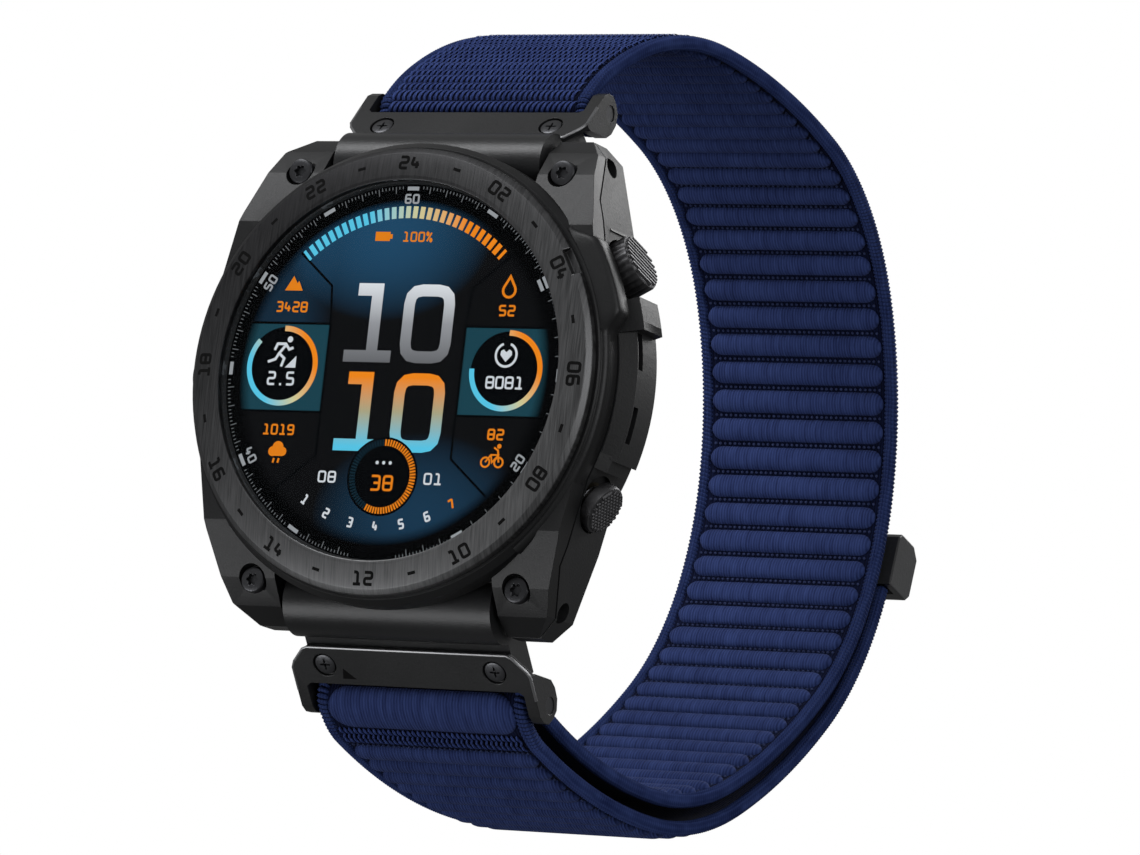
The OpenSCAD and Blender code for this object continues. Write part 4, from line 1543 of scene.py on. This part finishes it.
# %% Triangle mark
mark = Shape()
corners = [(-8.6, 1.35), (-6.9, 1.35), (-8.3, 2.65)]
levels = (-1.757, -1.70)
mark_foot = LINK_SCREW_Z + NECK["lower"] + 3.0
mark.sweep([[on_link("lower", x, y, mark_foot - z) for x, z in corners] for y in levels])
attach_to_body(mark.piece("plate_mark", fill), "lower_link")

# %% [markdown]
# ## Painted highlights on the link plates
# A fine pale metallic bead follows each plate's edge next to the case and turns down both ears. Its pale
# colour is a painted highlight where the rounded edge would catch the light.

# %% Painted edge highlights
# A pale metallic coat for the edge beads: a painted highlight, not the plate's own colour.
PAINTED_EDGE_HIGHLIGHT = coating("painted_edge_highlight", (0.16, 0.162, 0.168), 0.36, 0.9, 4200, 0.004 * MM)
EDGE_LEVEL, EDGE_R = -1.62, 0.17


def edge_highlight_path(neck):
    """Half of the plate's outline, mirrored: down one ear, along the case side, up the other."""
    half = [(12.3, 3.08), (12.9, 3.35), (14.35, 5.0), (14.68, 5.7), (14.7, 8.6)]
    return [(-x, z + neck) for x, z in reversed(half)] + [(x, z + neck) for x, z in half]


for end in ("upper", "lower"):
    path = edge_highlight_path(NECK[end])
    rings = []
    for i, (x, z) in enumerate(path):
        ahead, back = path[min(i + 1, len(path) - 1)], path[max(i - 1, 0)]
        dx, dz = ahead[0] - back[0], ahead[1] - back[1]
        size = math.hypot(dx, dz)
        rings.append([on_link(end, x - u * dz / size, EDGE_LEVEL + v, z + u * dx / size)
                      for u, v in round_section(EDGE_R, 8)])
    # Each bead is a painted highlight along the plate's edge.
    piece = Shape().sweep(rings).piece("plate_edge_" + end, PAINTED_EDGE_HIGHLIGHT)
    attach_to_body(piece, end + "_link")

# %% [markdown]
# ## Buttons
# Five buttons stand round the case. The start button has ribs across its face, the back button
# a fine diamond grip, and the three on the left are plain with a rounded rim. Each is turned
# from one profile, stem and all.

# %% Buttons
CAP_FLOOR = 25.9
STEM_R, FLANGE_R, STEM_START = 1.2, 1.6, 20.1
FLANGE_START, FLANGE_END = 20.6, 21.0
SIDES, FLUTES = 104, 26


def grip(shape, angle, face, radius, lean, pitch, width, tall):
    """Straight ridges across a button's face, leaning by an angle."""
    t = math.radians(lean)
    count = int((radius - 0.45) / pitch)
    for k in range(-count, count + 1):
        offset = k * pitch
        half = math.sqrt(max(0.04, (radius - 0.4) ** 2 - offset ** 2))
        rings = []
        for s in (-half, half):
            ring = []
            for w, h in ((-width, -0.05), (-width * 0.4, tall), (width * 0.4, tall), (width, -0.05)):
                u, v = offset + w, s
                ring.append(on_button(angle, face + h, u * math.cos(t) - v * math.sin(t),
                                      u * math.sin(t) + v * math.cos(t)))
            rings.append(ring)
        shape.sweep(rings)


def button(name):
    angle, radius, face = BUTTONS[name]
    flutes = FLUTES if name == "start" else 0
    profile = [(STEM_START, STEM_R), (FLANGE_START, STEM_R), (FLANGE_START, FLANGE_R),
               (FLANGE_END, FLANGE_R), (FLANGE_END, STEM_R), (CAP_FLOOR, STEM_R),
               (CAP_FLOOR, radius - 0.15), (CAP_FLOOR + 0.15, radius),
               (face - 0.45, radius), (face - 0.15, radius - 0.12), (face, radius - 0.4), (face, 0.05)]
    shape = Shape()
    rings = []
    for along, r in profile:
        ring = []
        for k in range(SIDES):
            a = 2 * math.pi * k / SIDES
            groove = 0.07 * (1 + math.cos(flutes * a)) if flutes and r == radius else 0
            ring.append(on_button(angle, along, (r - groove) * math.cos(a), (r - groove) * math.sin(a)))
        rings.append(ring)
    shape.sweep(rings)
    if name == "start":
        grip(shape, angle, face, radius, lean=62, pitch=0.62, width=0.24, tall=0.22)
    if name == "back":
        for lean in (45, -45):
            grip(shape, angle, face, radius, lean, pitch=0.46, width=0.2, tall=0.14)
    piece = shape.piece("cap_" + name, MATERIALS["button_metal"], sharp=30)
    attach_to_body(piece, name + "_button")
    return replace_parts(piece, "button_" + name)


for name in BUTTONS:
    button(name)

# %% [markdown]
# ## Coil springs
# A coil spring round each stem pushes its button out, and two small ones hold each latch. A coil is a tube
# swept along a helix, with a dozen rings to the turn.

# %% Springs
RINGS_A_TURN = 12
BUTTON_COIL = {"radius": 1.62, "wire": 0.09, "start": 24.66, "end": 25.84, "turns": 2}
LATCH_COIL = {"radius": 0.29, "wire": 0.07, "start": 4.45, "end": 6.85, "turns": 7}
LATCH_COIL_Y = 1.65


def coil(shape, spot, radius, wire, start, end, turns):
    rings = []
    steps = RINGS_A_TURN * turns
    for i in range(steps + 1):
        a = 2 * math.pi * i / RINGS_A_TURN
        along = start + wire + (end - start - 2 * wire) * i / steps
        rings.append([spot(along + q, (radius + p) * math.cos(a), (radius + p) * math.sin(a))
                      for p, q in round_section(wire, 6)])
    return shape.sweep(rings)


for name, (angle, _, _) in BUTTONS.items():
    spring = coil(Shape(), lambda w, u, v: on_button(angle, w, u, v), **BUTTON_COIL)
    piece = spring.piece("coil_" + name, MATERIALS["screw_steel"])
    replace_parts(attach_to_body(piece, "watch_head"), "spring_" + name)
    seat = BUTTON_COIL["start"]
    foot, ahead = [Vector(on_button(angle, w, 0, 0)) for w in (seat, seat + 1)]
    tuple(ahead - foot)
    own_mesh(piece)
for end in ("upper", "lower"):
    spring = Shape()
    for x in (-3, 3):
        coil(spring, lambda w, u, v: on_link(end, x + u, LATCH_COIL_Y + v, w), **LATCH_COIL)
    piece = spring.piece("latch_coils_" + end, MATERIALS["bare_steel"])
    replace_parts(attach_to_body(piece, end + "_link"), "latch_spring_" + end)
    seat = LATCH_COIL["end"]
    foot, ahead = [Vector(on_link(end, 0, LATCH_COIL_Y, w)) for w in (seat, seat + 1)]
    tuple(ahead - foot)
    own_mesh(piece)

# %% [markdown]
# ## Hooks
# The tail's tip holds on by a patch of fine nylon hooks sewn to its inner side, which catch the
# loops. Rows of bent stems stand on a thin backing.

# %% Hook patch
PATCH_START, PATCH_END = 3.6, tip_run.length - 1.5
BACKING = [(-11.4, -1.52), (11.4, -1.52), (11.4, -1.30), (-11.4, -1.30)]
backing = Shape().sweep(strip(tip_run, PATCH_START, PATCH_END, BACKING))
patch = peels(backing.piece("hook_backing", HOOK_CLOTH))
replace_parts(patch, "hook_patch")
hook_row = Shape()
for x in spaced(-11.0, 11.0, 0.7):
    hook_row.sweep([[(x + u, lean + v, -1.5 - rise) for u, v in round_section(0.07, 4)]
                    for lean, rise in ((0, 0), (0, 0.2), (0.08, 0.3), (0.2, 0.3), (0.26, 0.22))])
hooks = peels(repeat("hooks", tip_run.path(PATCH_START + 0.4, PATCH_END - 0.4), hook_row, 0.8, HOOK_CLOTH))

# %% [markdown]
# ## Light and floor
# Four large soft lamps and a pale sky light the watch as in a small studio. The sky that
# lights things is darker than the white that the camera sees behind them, so that black metal
# keeps its depth. The camera looks up from a little below, so the floor is clear from
# underneath, and to all light that is not on its way to the camera.

# %% Lamps and sky
SKY_BELOW, SKY_ABOVE = 0.15, 0.36
# Name, place, width across and power.
LAMPS = [("key", (-0.45, -0.60, 0.80), 0.5, 7.0), ("fill", (0.85, -0.55, 0.20), 0.7, 4.5),
         ("rim", (0.25, 0.75, 0.55), 0.6, 4.5), ("low", (-0.5, -0.7, -0.5), 0.6, 4.0)]
for name, place, size, power in LAMPS:
    lamp_data = bpy.data.lights.new(name, "AREA")
    lamp_data.shape = "DISK"
    lamp_data.size, lamp_data.energy = size, power
    lamp = in_scene(name, lamp_data)
    facing = Vector(place).to_track_quat("Z", "Y").to_matrix().to_4x4()
    lamp.matrix_world = Matrix.Translation(place) @ facing

sky = bpy.data.worlds.new("sky")
bpy.context.scene.world = sky
sky.use_nodes = True
sky_tree = sky.node_tree
direction = add_node(sky_tree, "ShaderNodeSeparateXYZ", None,
                     {0: add_node(sky_tree, "ShaderNodeTexCoord").outputs["Generated"]})
height = add_node(sky_tree, "ShaderNodeMapRange", None,
                  {"Value": direction.outputs["Z"], "From Min": -0.6, "From Max": 0.9,
                   "To Min": SKY_BELOW, "To Max": SKY_ABOVE})
seen = add_node(sky_tree, "ShaderNodeLightPath").outputs["Is Camera Ray"]
light = add_node(sky_tree, "ShaderNodeMix", None, {0: seen, 2: height.outputs[0], 3: 1.0})
sky_tree.links.new(light.outputs[0], sky_tree.nodes["Background"].inputs["Strength"])
sky_tree.nodes["Background"].inputs["Color"].default_value = (1, 1, 1, 1)
bpy.context.scene.view_settings.view_transform = "Standard"
print("lamps:", ", ".join(lamp[0] for lamp in LAMPS))

# %% [markdown]
# ## Floor
# A pale floor lies just under the watch's lowest point.

# %% Floor
FLOOR_GAP, FLOOR_HALF = 0.0002, 3


def floor_finish():
    finish = Finish("floor", (0.93, 0.93, 0.93), 0.9)
    under = finish.node("ShaderNodeNewGeometry", out="Backfacing")
    unseen = 1 - finish.node("ShaderNodeLightPath", out="Is Camera Ray")
    clear = finish.node("ShaderNodeBsdfTransparent")
    either = under.sum("MAXIMUM", under, unseen)
    mixed = finish.node("ShaderNodeMixShader", None,
                        {0: either, 1: finish.shader.outputs[0], 2: clear})
    finish.tree.links.new(mixed.socket, finish.tree.nodes["Material Output"].inputs["Surface"])
    return finish.material


floor_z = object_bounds()[0].z - FLOOR_GAP
floor_mesh = bpy.data.meshes.new("floor")
corners = [(x * FLOOR_HALF, y * FLOOR_HALF, floor_z) for x, y in ((-1, -1), (1, -1), (1, 1), (-1, 1))]
floor_mesh.from_pydata(corners, [], [(0, 1, 2, 3)])
floor_mesh.materials.append(floor_finish())
floor = in_scene("floor", floor_mesh)
print("floor at", round(floor_z / MM, 1), "mm")

# %% [markdown]
# ## The end
